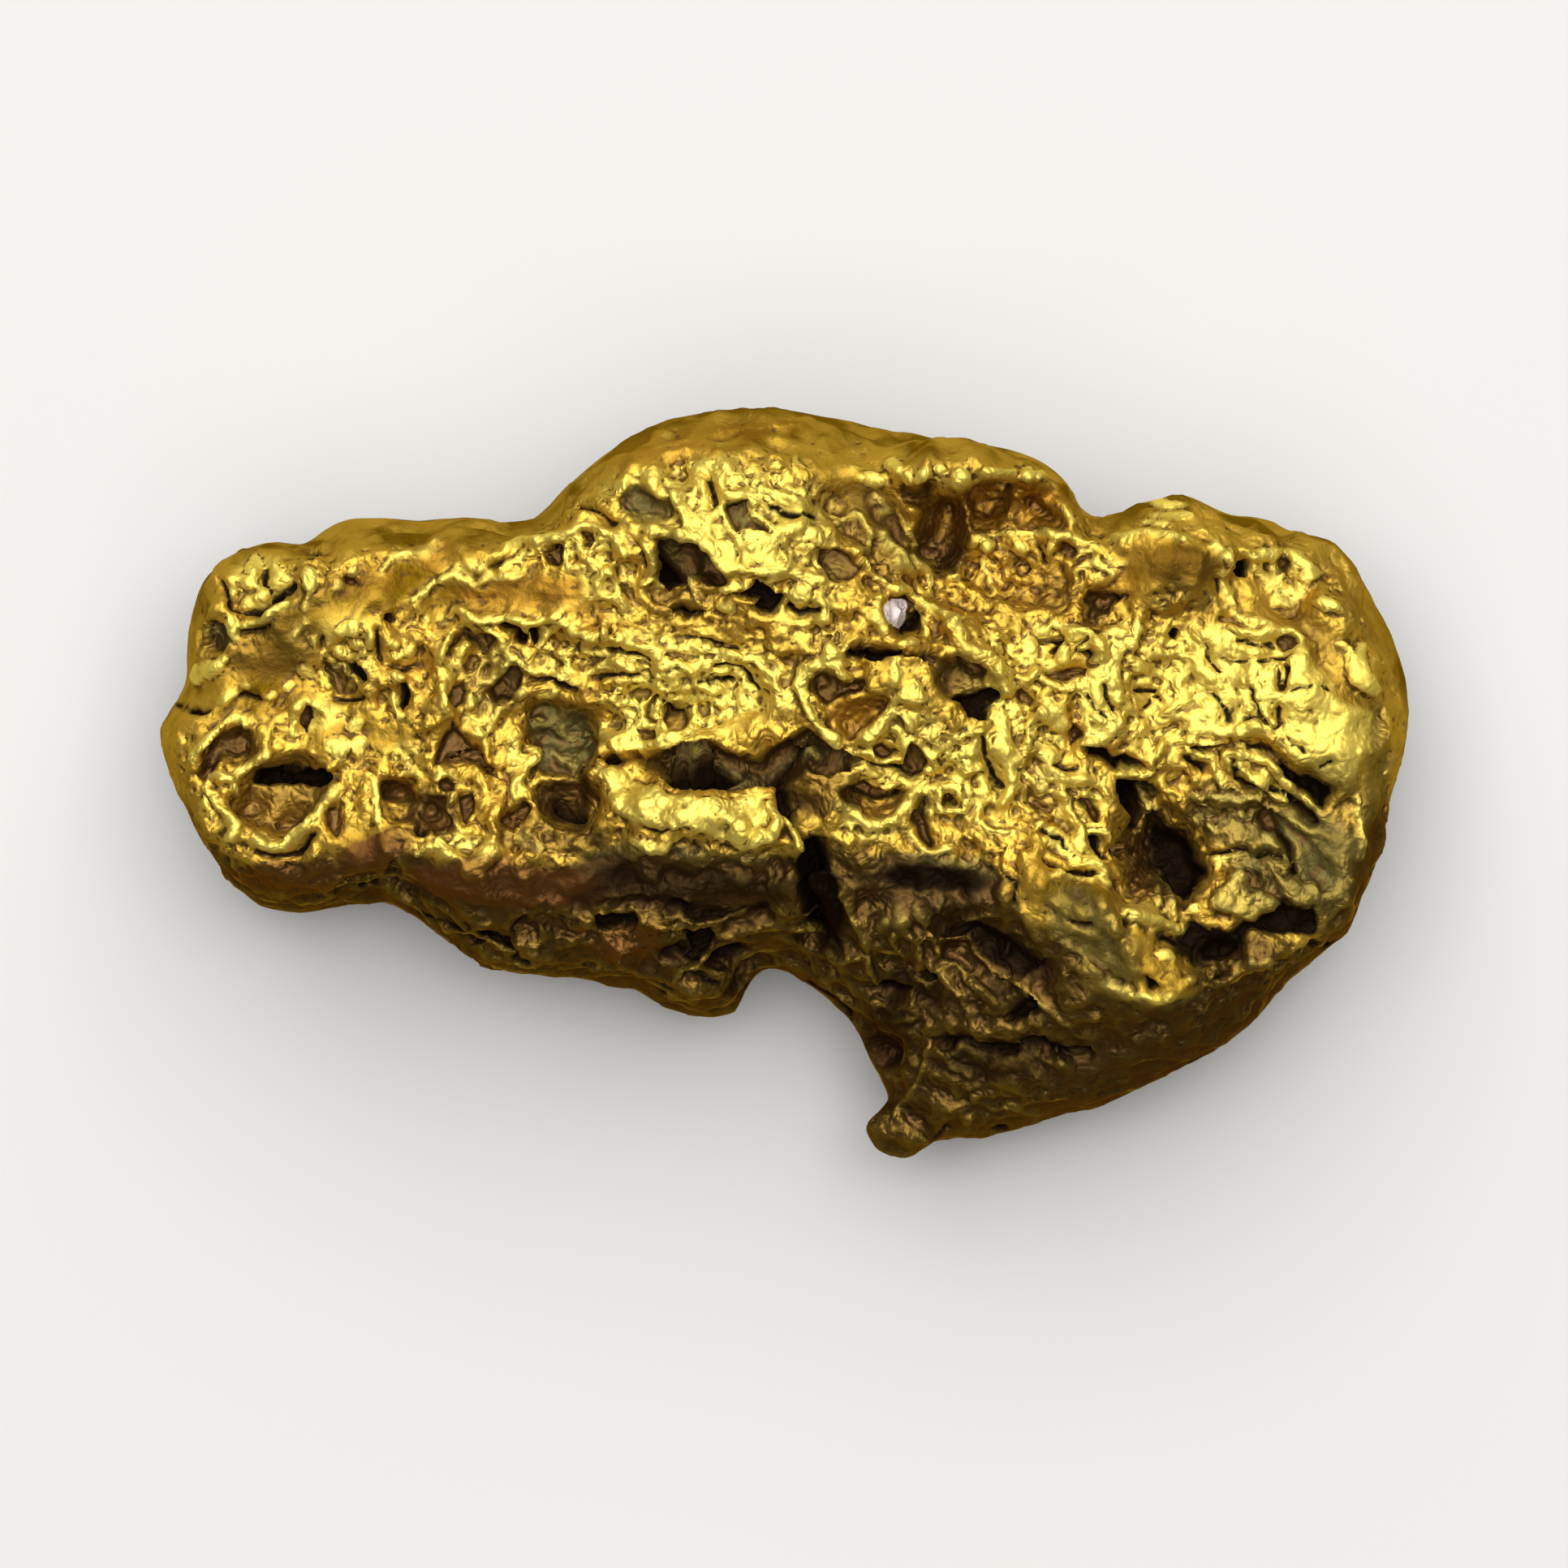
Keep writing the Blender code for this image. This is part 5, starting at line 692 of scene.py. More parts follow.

# Where the metal's colour changes, most of it painted light and shade and some of it stain: x, y, half length, half
# width, turn, strength.
TONES = {
    # Painted highlight: lighter, yellower gold where light catches the faces and crests turned to it.
    "bright": (
        (-1.2, 6.6, 2.6, 1.1, -5, 0.75), (0.3, 5.6, 1.3, 0.8, -20, 0.6), (-2.9, 7.5, 1.7, 0.25, 12, 0.7),
        (-5.0, 5.9, 1.2, 0.35, 0, 0.6), (-7.3, 5.4, 1.1, 0.2, 12, 0.5), (-7.0, 4.0, 1.7, 0.15, -3, 0.6),
        (-8.3, 3.0, 0.3, 1.0, 0, 0.5), (-3.0, 3.1, 2.4, 0.6, -4, 0.75), (-2.4, 2.0, 1.8, 0.9, 0, 0.95),
        (-3.4, 1.2, 1.1, 0.4, 0, 0.95), (1.2, 3.2, 0.6, 0.5, 50, 0.7), (5.5, 1.8, 0.4, 1.3, 0, 0.85),
        (5.4, 0.3, 0.45, 0.9, 0, 0.9), (3.2, 1.3, 0.8, 0.5, 0, 0.6), (4.1, -0.4, 0.7, 0.6, 0, 0.8),
        (2.2, -1.05, 1.0, 0.2, 0, 0.7), (4.4, 0.7, 0.9, 0.7, 0, 0.7), (6.4, 3.2, 0.6, 0.8, 0, 0.45),
        (9.3, 2.2, 1.2, 1.6, 0, 0.55), (7.0, 0.0, 1.1, 0.5, -20, 0.7), (7.2, -1.0, 0.5, 0.9, 20, 0.6),
        (8.8, -3.1, 0.5, 0.3, 0, 0.4), (-12.8, 5.0, 0.8, 0.5, 0, 0.7), (-11.5, 1.7, 0.6, 0.45, 0, 0.6),
        (-10.6, 3.2, 0.8, 0.9, 0, 0.35), (-7.7, -1.5, 0.7, 0.35, -10, 0.8), (-9.2, 0.7, 0.4, 0.4, 0, 0.5),
        (-6.5, 0.6, 0.25, 0.8, 10, 0.6), (-6.2, 3.0, 1.4, 0.5, 0, 0.35), (0.6, 4.2, 0.9, 0.7, 0, 0.3),
        (11.8, 0.4, 0.9, 0.3, -40, 0.7), (10.6, -0.6, 0.6, 0.4, 0, 0.35), (-7.4, 1.7, 0.5, 0.5, 0, 0.35),
        (4.5, 7.5, 1.9, 0.2, -5, 0.6), (6.3, 1.3, 0.6, 0.6, 0, 0.6),
        (3.1, -3.35, 0.7, 0.22, 15, 0.9), (-4.2, 4.9, 0.7, 0.9, 30, 0.5), (-5.6, 2.9, 0.5, 0.3, 0, 0.5),
        (3.6, 0.2, 2.2, 1.0, -15, 0.55), (-0.6, 2.4, 1.3, 0.7, 0, 0.7), (5.2, 2.6, 0.9, 1.2, 30, 0.5),
    ),
    # Painted shade: a darker, deeper-coloured gold in the valleys, the cave and the slope along the top.
    "orange": (
        (-6.4, 4.7, 1.7, 0.4, 3, 0.7), (9.3, 5.4, 1.1, 0.6, -10, 0.35), (5.4, 6.8, 1.6, 0.6, 0, 0.6),
        (6.0, 5.0, 1.4, 0.7, -10, 0.35), (8.1, 4.7, 0.7, 0.5, 0, 0.6), (7.3, 6.2, 0.5, 0.3, 0, 0.4),
        (-2.0, 8.5, 2.6, 0.4, 8, 0.4), (-12.9, 3.1, 0.7, 0.5, 0, 0.5), (-10.2, 5.0, 0.8, 0.5, 0, 0.4),
        (-8.5, 5.6, 0.6, 0.4, 0, 0.6), (7.3, 4.5, 0.8, 0.6, 0, 0.5),
    ),
    # Painted shade: a dark greenish tone standing in for dark surroundings reflected in slopes and pits.
    "olive": (
        (-5.2, 0.9, 0.9, 1.2, 0, 0.4), (-2.2, -2.25, 2.9, 0.75, -4, 1.0), (3.6, -2.4, 1.8, 0.8, 0, 0.95),
        (-2.6, 5.5, 0.7, 0.6, 0, 0.5), (-7.0, 2.5, 1.0, 0.8, 0, 0.5), (12.6, -1.9, 1.8, 1.6, 0, 0.75),
        (11.3, -0.9, 1.5, 0.9, -20, 0.65), (9.2, -6.4, 3.2, 0.9, 25, 1.0), (13.4, -0.3, 0.8, 1.2, 0, 0.4),
        (9.9, 4.5, 1.0, 0.4, 0, 0.4), (7.6, -3.8, 1.6, 0.9, -50, 0.6), (14.6, -0.2, 0.35, 2.4, 0, 0.5),
        (11.2, -2.8, 1.0, 0.5, 0, 0.5), (7.9, -4.2, 0.9, 0.5, -40, 0.4), (7.5, 3.1, 0.3, 0.2, 0, 0.3),
        (6.3, -0.2, 0.4, 0.8, 0, 0.4),
    ),
    # Brownish stain, and painted shade over the lower slopes.
    "brown": (
        (-11.8, -2.7, 2.6, 0.8, 0, 1.0), (-7.5, -3.6, 2.8, 1.0, -18, 0.95), (-3.0, -4.4, 2.6, 1.0, -12, 1.0),
        (1.6, -3.9, 1.5, 2.2, 20, 1.0), (4.6, -7.0, 3.2, 2.3, 0, 1.0), (4.6, -4.8, 1.8, 1.4, 0, 0.95),
        (-8.6, -0.7, 0.8, 0.6, 0, 0.8), (9.2, -1.8, 0.9, 1.4, 25, 0.9), (5.0, 6.8, 1.9, 0.7, 5, 0.3),
        (0.9, -0.1, 1.3, 0.6, -15, 0.7), (11.2, -4.5, 1.4, 0.8, 15, 0.9), (-2.4, 4.6, 0.8, 0.7, 0, 0.5),
        (-6.2, -1.2, 0.9, 0.5, 0, 0.6), (6.3, -4.5, 0.8, 1.2, 20, 0.8), (2.2, 6.2, 0.7, 1.3, 35, 0.55),
        (-13.1, 1.0, 0.5, 0.4, 0, 0.5), (12.8, 3.9, 1.6, 0.25, -50, 0.45), (9.8, 5.3, 0.9, 0.6, 0, 0.45),
        (6.7, 4.7, 0.6, 0.4, 0, 0.45), (14.0, 4.3, 1.3, 0.25, -60, 0.4), (14.5, -1.0, 0.3, 0.8, 0, 0.4),
        (-4.9, -1.3, 0.8, 0.4, 0, 0.7), (-12.4, 3.4, 1.3, 0.8, 20, 0.45), (-11.2, 4.7, 1.2, 0.4, 20, 0.4),
    ),
    "red": (
        (-10.0, -1.6, 1.1, 0.45, 20, 0.9), (-6.9, -2.4, 2.4, 0.6, -3, 0.95), (-11.8, -2.2, 2.0, 0.4, 0, 0.7),
        (-8.4, -0.8, 0.5, 0.4, 0, 0.5), (-3.8, -3.9, 0.9, 0.5, 10, 0.9), (2.6, -6.6, 0.5, 0.5, 0, 0.5),
        (8.6, -2.0, 0.4, 0.9, 10, 0.6),
    ),
    # Painted shade: a deep reddish gold in the cave under the right shoulder.
    "amber": ((5.0, 6.7, 2.0, 0.75, 3, 0.5),),
    # Painted shade: very dark in deep holes, under the lip and over the lower middle.
    "black": (
        (-2.2, -2.4, 2.6, 0.4, -4, 0.5), (3.6, -2.3, 1.5, 0.4, 0, 0.75), (10.4, -3.9, 1.1, 0.4, 0, 0.75),
        (5.3, -4.1, 1.2, 0.35, -35, 0.7), (-4.0, -2.7, 1.5, 0.3, 0, 0.5), (1.0, -2.9, 0.6, 1.4, 10, 0.8),
        (2.6, -6.2, 0.7, 1.0, 0, 0.55), (5.2, -6.9, 1.6, 0.5, 0, 0.5), (5.6, -5.4, 1.0, 0.4, -30, 0.5),
        (9.6, -1.9, 0.6, 1.0, 25, 0.8), (3.2, -4.9, 0.9, 0.4, -30, 0.5),
    ),
}

# The pale grain set in a ring pit: middle, half length, half width, how far it stands up in the pit.
QUARTZ_AT = (2.74, 4.2)
QUARTZ_HALF = (0.29, 0.35)
QUARTZ_RISE = 0.42

# Areas of long folds: x, y, half length, half width, turn, direction of the folds, folds a millimetre, height.
FOLDS = (
    (-3.0, 2.9, 2.8, 1.1, 0, -5, 2.2, 0.14), (-6.3, 4.7, 1.9, 0.5, 0, 3, 2.4, 0.06),
    (-6.5, 3.4, 1.8, 0.8, 0, -12, 2.2, 0.10), (-3.0, -2.2, 3.8, 0.9, -3, -4, 2.0, 0.12),
    (-7.0, -3.2, 3.4, 1.1, -14, -14, 1.8, 0.10), (-11.8, -2.6, 2.2, 0.7, 0, -3, 2.0, 0.08),
    (-2.5, -4.3, 2.4, 1.0, -10, -8, 1.8, 0.14), (1.8, -4.2, 1.2, 2.2, 25, -55, 2.0, 0.14),
    (4.4, -4.6, 2.0, 1.5, 0, -48, 1.9, 0.14), (7.0, -1.2, 2.0, 1.0, -48, -50, 2.4, 0.14),
    (7.6, -3.9, 2.4, 1.0, -48, -48, 1.6, 0.10), (11.9, -0.3, 1.9, 0.9, -32, -34, 2.2, 0.16),
    (12.2, -2.2, 1.6, 1.2, -20, -40, 1.8, 0.12), (11.2, 3.0, 1.9, 1.4, -15, -18, 2.0, 0.10),
    (10.2, 1.4, 1.6, 0.9, 0, 12, 2.0, 0.10), (0.6, 4.0, 1.2, 0.8, 20, 20, 2.2, 0.08),
    (0.8, -1.9, 0.7, 1.5, 0, 80, 2.0, 0.12), (9.5, -6.2, 2.8, 0.9, 25, 28, 1.6, 0.06),
    (5.6, 5.4, 1.8, 0.8, -10, -15, 2.0, 0.08), (2.0, 6.4, 0.9, 1.4, 30, -60, 1.6, 0.08),
    (-3.2, 5.0, 1.6, 0.8, -20, -20, 2.4, 0.12), (2.2, 0.4, 1.6, 0.8, -10, -15, 2.2, 0.14),
    (4.6, -7.2, 2.4, 0.9, 0, -8, 1.8, 0.05), (-7.6, 2.6, 1.0, 1.4, 10, 60, 2.0, 0.12),
)

# Where the surface is rubbed smooth, which the finish also paints a darker ochre as shade: width, strength, and the
# line the smooth band follows.
SMOOTH_BANDS = (
    (0.9, 1.0, ((-14.6, 2.0), (-13.4, 2.2), (-12.4, 2.9), (-11.8, 3.9), (-10.4, 4.5), (-9.0, 5.2), (-8.0, 5.9))),
    (0.5, 0.9, ((-12.0, 2.3), (-11.2, 1.1), (-10.3, 1.3), (-9.4, 1.2))),
    (0.7, 1.0, ((-8.2, 4.7), (-6.4, 4.7), (-4.9, 4.6))),
    (0.8, 1.0, ((8.6, 5.2), (9.6, 5.5), (10.6, 5.3))),
    (0.6, 1.0, ((11.2, 4.8), (12.3, 4.3), (13.0, 3.6), (13.9, 2.5))),
    (1.1, 0.8, ((13.3, 2.4), (13.5, 1.4), (13.7, 0.4))),
    (1.3, 0.9, ((6.6, -2.6), (8.0, -3.7), (9.0, -4.7))),
    (0.7, 0.8, ((-10.6, -1.5), (-8.2, -2.5), (-5.6, -2.5), (-4.0, -2.2))),
    (0.9, 0.7, ((12.6, -1.0), (13.4, -1.8))),
    (0.6, 0.9, ((1.4, 7.4), (2.4, 6.6), (3.0, 5.6))),
)


# Every random draw of the shaping starts from this number.
NOISE_SEED = 5
# How far the edges of the forms wander: waves a millimetre, reach.
WANDER = ((0.8, 0.16), (1.9, 0.13), (4.4, 0.05))


def smooth(low, high, value):
    """0 below low, 1 above high, and an even curve between."""
    t = np.clip((value - low) / (high - low), 0.0, 1.0)
    return t * t * (3.0 - 2.0 * t)


def distance_to_line(x, y, points):
    """Shortest distance from each x, y to the line through the points."""
    best = np.full(x.shape, 1e9)
    for (ax, ay), (bx, by) in zip(points[:-1], points[1:]):
        dx, dy = bx - ax, by - ay
        t = np.clip(((x - ax) * dx + (y - ay) * dy) / (dx * dx + dy * dy), 0.0, 1.0)
        best = np.minimum(best, np.hypot(x - ax - t * dx, y - ay - t * dy))
    return best


def inside(x, y, points):
    """True where x, y lies inside the closed outline."""
    found = np.zeros(x.shape, bool)
    for (ax, ay), (bx, by) in zip(points, points[1:] + points[:1]):
        crosses = (ay > y) != (by > y)
        found ^= crosses & (x < ax + (y - ay) * (bx - ax) / (by - ay + 1e-12))
    return found


def oval(x, y, cx, cy, half_length, half_width, turn):
    """Distance from an oval's middle, as a share of its radius that way."""
    angle = np.radians(turn)
    u = (x - cx) * np.cos(angle) + (y - cy) * np.sin(angle)
    v = (y - cy) * np.cos(angle) - (x - cx) * np.sin(angle)
    return np.hypot(u / half_length, v / half_width)


def close_to(x, y, points, margin):
    """Which of the x, y lie in the box round the points, widened by the margin."""
    corners = np.array(points)
    low = corners.min(axis=0) - margin
    high = corners.max(axis=0) + margin
    return np.flatnonzero((x > low[0]) & (x < high[0]) & (y > low[1]) & (y < high[1]))


def beside(x, y, line, width, power=2.0):
    """1 on the line, falling to 0 at about twice the width from it."""
    share = np.zeros(x.shape)
    near = close_to(x, y, line, 2.5 * width)
    share[near] = np.exp(-((distance_to_line(x[near], y[near], line) / width) ** power))
    return share


def within(x, y, outline, wall):
    """1 well inside the closed outline and 0 outside it, with a wall of that width between."""
    share = np.zeros(x.shape)
    near = close_to(x, y, outline, wall)
    distance = distance_to_line(x[near], y[near], outline + outline[:1])
    distance[~inside(x[near], y[near], outline)] *= -1.0
    share[near] = smooth(-0.4 * wall, 0.6 * wall, distance)
    return share


def rim_height(x, y):
    """Height of the widest line of the lump."""
    rim = np.full(x.shape, RIM_LEVEL)
    for cx, cy, reach, height in RIM_CHANGES:
        rim += height * np.exp(-((x - cx) ** 2 + (y - cy) ** 2) / reach**2)
    return rim


def to_face_edge(x, y):
    """Distance from the upper face, 0 on it."""
    distance = distance_to_line(x, y, FACE_EDGE + FACE_EDGE[:1])
    distance[inside(x, y, FACE_EDGE)] = 0.0
    return distance


def upper_height(x, y):
    """Height of the smooth upper side over x, y."""
    rim = rim_height(x, y)
    face = FACE_HEIGHT - END_DROP * x**2
    for cx, cy, reach_x, reach_y, height in FACE_LOBES:
        face += height * np.exp(-(((x - cx) / reach_x) ** 2) - ((y - cy) / reach_y) ** 2)
    to_outline = distance_to_line(x, y, OUTLINE + OUTLINE[:1])
    share = to_outline / np.maximum(to_outline + to_face_edge(x, y), 1e-6)
    front = smooth(1.5, -1.5, y)
    steep = 2.0 - 0.5 * front
    fall = np.maximum(1.0 - (1.0 - share) ** steep, 0.0) ** (0.55 + 0.2 * front)
    return rim + (face - rim) * fall


def lower_height(x, y):
    """Height of the smooth under side over x, y, before its lowest places are worn flat."""
    rim = rim_height(x, y)
    share = np.clip(distance_to_line(x, y, OUTLINE + OUTLINE[:1]) / UNDER_ROUND, 0.0, 1.0)
    height = rim - rim * np.sqrt(np.maximum(1.0 - (1.0 - share) ** 2, 0.0))
    for cx, cy, reach, drop in UNDER_LUMPS:
        height -= share * drop * np.exp(-((x - cx) ** 2 + (y - cy) ** 2) / reach**2)
    return height


def coordinates(mesh):
    flat = np.empty(len(mesh.vertices) * 3, np.float32)
    mesh.vertices.foreach_get("co", flat)
    return flat.reshape(-1, 3).astype(np.float64)


def normals(mesh):
    flat = np.empty(len(mesh.vertices) * 3, np.float32)
    mesh.vertices.foreach_get("normal", flat)
    return flat.reshape(-1, 3).astype(np.float64)


def place(mesh, points):
    mesh.vertices.foreach_set("co", points.astype(np.float32).reshape(-1))
    mesh.update()


def with_modifier(mesh, kind, where=None, **settings):
    """A new mesh: this one after one modifier, acting most where the given share of each point is 1."""
    helper = bpy.data.objects.new("helper", mesh)
    bpy.context.scene.collection.objects.link(helper)
    modifier = helper.modifiers.new(kind.title(), kind)
    if where is not None:
        group = helper.vertex_groups.new(name="where")
        steps = np.round(np.clip(where, 0.0, 1.0) * 10.0).astype(int)
        for step in np.unique(steps):
            group.add(np.flatnonzero(steps == step).tolist(), 0.02 + 0.098 * float(step), "REPLACE")
        modifier.vertex_group = "where"
        modifier.vertex_group_factor = DECIMATE_BIAS
    for name, value in settings.items():
        setattr(modifier, name, value)
    graph = bpy.context.evaluated_depsgraph_get()
    result = bpy.data.meshes.new_from_object(helper.evaluated_get(graph))
    bpy.data.objects.remove(helper)
    return result


def smooth_lump():
    """The bare lump: a sphere whose points are spread over the outline and set to its heights."""
    shape = bmesh.new()
    bmesh.ops.create_uvsphere(shape, u_segments=480, v_segments=180, radius=1.0)
    mesh = bpy.data.meshes.new("lump")
    shape.to_mesh(mesh)
    points = coordinates(mesh)
    corners = np.array(OUTLINE)
    angles = np.arctan2(corners[:, 1], corners[:, 0])
    order = np.argsort(angles)
    radii = np.hypot(corners[:, 0], corners[:, 1])[order]
    around = np.arctan2(points[:, 1], points[:, 0])
    reach = np.interp(around, angles[order], radii, period=2.0 * np.pi)
    spread = np.cos(np.arcsin(np.clip(points[:, 2], -1.0, 1.0))) ** 0.75
    x = spread * reach * np.cos(around)
    y = spread * reach * np.sin(around)
    z = np.where(points[:, 2] > 0.0, upper_height(x, y), lower_height(x, y))
    place(mesh, np.column_stack([x, y, z]))
    shape.clear()
    shape.from_mesh(mesh)
    bead = bmesh.ops.create_icosphere(shape, subdivisions=4, radius=1.0)["verts"]
    bmesh.ops.scale(shape, vec=Vector(BEAD_RADII), verts=bead)
    bmesh.ops.translate(shape, vec=Vector(BEAD_AT), verts=bead)
    shape.to_mesh(mesh)
    shape.free()
    return with_modifier(mesh, "REMESH", mode="VOXEL", voxel_size=BROAD_STEP, adaptivity=0.0)


def each(function, points, size, shift=(0.0, 0.0, 0.0)):
    """A noise function read at every point, at so many waves a millimetre."""
    moved = (points * size + np.array(shift)).tolist()
    return np.array([function(p) for p in moved])


def wandered(points):
    """x and y of the points, each shifted a little so that no edge is a perfect oval or line."""
    x, y = points[:, 0].copy(), points[:, 1].copy()
    for size, reach in WANDER:
        shift = each(noise.noise_vector, points * (1.0, 1.0, 0.0), size) * reach
        x += shift[:, 0]
        y += shift[:, 1]
    return x, y


def domes(x, y):
    """Height of the small grains as a share of the full one."""
    rise = np.zeros(x.shape)
    for cx, cy, half_length, half_width, turn in GRAINS:
        near = close_to(x, y, ((cx, cy),), 1.4 * max(half_length, half_width))
        share = oval(x[near], y[near], cx, cy, half_length, half_width, turn)
        full = min(1.0, 5.0 * half_width)
        rise[near] = np.maximum(rise[near], full * np.sqrt(np.clip(1.25 - share**2, 0.0, 1.0)))
    return rise


def face_relief(x, y, small):
    """Height added to the upper face by its swells, hollows, pits, plates, creases and ridges, large or small."""
    relief = np.zeros(x.shape)
    flat = np.column_stack([x, y, 0.0 * x])
    uneven = 1.0 + 0.6 * each(noise.noise, flat, 1.1, (2.0, 6.0, 1.0)) + 0.5 * each(noise.noise, flat, 3.3)
    for cx, cy, half_length, half_width, turn, height in SWELLS:
        if (half_width < SMALL) == small:
            relief += height * np.exp(-(oval(x, y, cx, cy, half_length, half_width, turn) ** 2))
    for width, height, line in RIDGES:
        if (width < SMALL) == small:
            relief += uneven * height * beside(x, y, line, width)
    for width, depth, line in CREASES:
        if (width < SMALL) == small:
            relief -= depth * beside(x, y, line, width, 1.4)
    for cx, cy, half_length, half_width, turn, depth in HOLLOWS:
        if (half_width < SMALL) == small:
            share = oval(x, y, cx, cy, half_length, half_width, turn)
            relief -= depth * (1.0 - smooth(0.4, 1.15, share))
    for depth, wall, _, _, outline in PITS:
        if (wall < 0.18) == small:
            relief -= depth * within(x, y, outline, wall)
    if small:
        for height, edge, _, outline in PLATES:
            relief += height * within(x, y, outline, edge)
        relief += GRAIN_HEIGHT * domes(x, y)
    return relief


def hand_made(x, y):
    """1 close to the placed ridges, creases, pits, plates and grains, where the random texture is kept low."""
    share = domes(x, y)
    for width, _, line in RIDGES + CREASES:
        if width < 0.5:
            share = np.maximum(share, beside(x, y, line, width + 0.1))
    for _, _, _, _, outline in PITS:
        share = np.maximum(share, within(x, y, outline, 0.2))
    for _, _, _, outline in PLATES:
        share = np.maximum(share, 0.8 * within(x, y, outline, 0.2))
    return share


def tone_cover(x, y, name, slope):
    """How strongly one tone covers each x, y: its areas, and the placed forms that carry it."""
    cover = patched(x, y, TONES[name])
    for _, wall, tone, strength, outline in PITS:
        if tone == name:
            cover = np.maximum(cover, strength * within(x, y, outline, wall + 0.05))
    # Painted highlight on the plates, the tops of the grains and the narrowest ridges, less on the lower front slope.
    if name == "bright":
        for _, edge, strength, outline in PLATES:
            cover = np.maximum(cover, strength * within(x, y, outline, edge))
        crests = smooth(0.2, 0.7, domes(x, y))
        for width, _, line in RIDGES:
            if width < 0.16:
                crests = np.maximum(crests, beside(x, y, line, width))
        cover = np.maximum(cover, crests * (1.0 - 0.7 * slope))
    # Painted shade: very dark along the narrower creases.
    if name == "black":
        for width, _, line in CREASES:
            if width < 0.35:
                cover = np.maximum(cover, 0.85 * beside(x, y, line, 0.75 * width))
    # Painted shade: the whole lower front slope is painted dark.
    if name == "brown":
        cover = np.maximum(cover, slope)
    return cover


def long_folds(points, x, y):
    """Folds that run along one direction in each area, crests sharper than the valleys between."""
    height = np.zeros(x.shape)
    for cx, cy, half_length, half_width, turn, direction, folds, rise in FOLDS:
        share = oval(x, y, cx, cy, half_length, half_width, turn)
        near = np.flatnonzero(share < 1.3)
        angle = np.radians(direction)
        along = x[near] * np.cos(angle) + y[near] * np.sin(angle)
        across = y[near] * np.cos(angle) - x[near] * np.sin(angle)
        wave = np.column_stack([along * 0.28, across, points[near, 2] * 0.2])
        crest = 1.0 - np.minimum(np.abs(each(noise.noise, wave, folds, (cx, cy, 0.0))) / 0.45, 1.0)
        height[near] += rise * (1.0 - smooth(0.6, 1.3, share[near])) * (crest**2 * 1.6 - 0.7)
    return height


def worn_lumps(points):
    """Uneven roundness of the whole surface, larger and smaller lumps together."""
    broad = each(noise.noise, points, 0.36)
    small = np.abs(each(noise.noise, points, 0.95, (7.0, 3.0, 1.0)))
    return 0.45 * broad + 0.5 * (0.16 - small)


def at_widest(points, outward):
    """1 along the widest line of the lump, which the outline is drawn from, falling off above and below."""
    above_rim = points[:, 2] - rim_height(points[:, 0], points[:, 1])
    return (1.0 - np.abs(outward[:, 2])) * np.exp(-((above_rim / 1.3) ** 2))


def push_direction(outward, up_side):
    push = outward + np.array([0.0, 0.0, 0.8]) * up_side[:, None]
    return push / np.linalg.norm(push, axis=1)[:, None]


def smooth_share(x, y):
    """1 where the surface is rubbed smooth, 0 where it is rough."""
    share = smooth(0.1, 0.7, to_face_edge(x, y)) * smooth(1.0, 3.0, y)
    for width, strength, line in SMOOTH_BANDS:
        share = np.maximum(share, strength * (1.0 - smooth(0.35, 1.1, distance_to_line(x, y, line) / width)))
    patchy = each(noise.noise, np.column_stack([x, y, 0.0 * x]), 1.3, (1.0, 2.0, 3.0))
    return share * (0.8 + 0.5 * np.clip(patchy, -0.5, 0.4))


def blobs(points, size, fill):
    """Rounded blobs and pits of many sizes, one to a cell: height from -1 to 1."""
    warped = points + each(noise.noise_vector, points, size * 0.9) * (0.35 / size)
    height = np.empty(len(points))
    for i, p in enumerate((warped * size).tolist()):
        distances, middles = noise.voronoi(p)
        middle = middles[0]
        chance = noise.cell(middle * 57.3)
        rise = 1.0 - min(distances[0] / fill, 1.0) ** 2
        height[i] = rise * (2.0 * chance - 0.7)
    return height


def terraces(points, size, steps):
    """Flat steps with narrow walls between them, as on broken metal: height in steps."""
    level = each(noise.noise, points, size, (4.0, 4.0, 4.0)) * steps
    floor_level = np.floor(level)
    return floor_level + smooth(0.3, 0.7, level - floor_level)


def patched(x, y, patches):
    """How strongly the patches cover each x, y."""
    cover = np.zeros(x.shape)
    for cx, cy, half_length, half_width, turn, strength in patches:
        share = oval(x, y, cx, cy, half_length, half_width, turn)
        cover = np.maximum(cover, strength * (1.0 - smooth(0.7, 1.25, share)))
    return cover


def keep(mesh, name, values):
    """Stores one number for each point, for the finish to read."""
    layer = mesh.attributes.new(name, "FLOAT", "POINT")
    layer.data.foreach_set("value", np.asarray(values, np.float32))


def dip_of(mesh, rounds):
    """How far each point lies below the surface round it, smoothed so many times."""
    smoothed = with_modifier(mesh.copy(), "SMOOTH", factor=0.5, iterations=rounds)
    gap = coordinates(smoothed) - coordinates(mesh)
    return np.einsum("ij,ij->i", gap, normals(mesh))


def sharpened(mesh, rounds, strength):
    """Moves each point away from the smoothed surface, so that crests and creases stand out."""
    smoothed = with_modifier(mesh.copy(), "SMOOTH", factor=0.5, iterations=rounds)
    points = coordinates(mesh)
    place(mesh, points + strength * (points - coordinates(smoothed)))


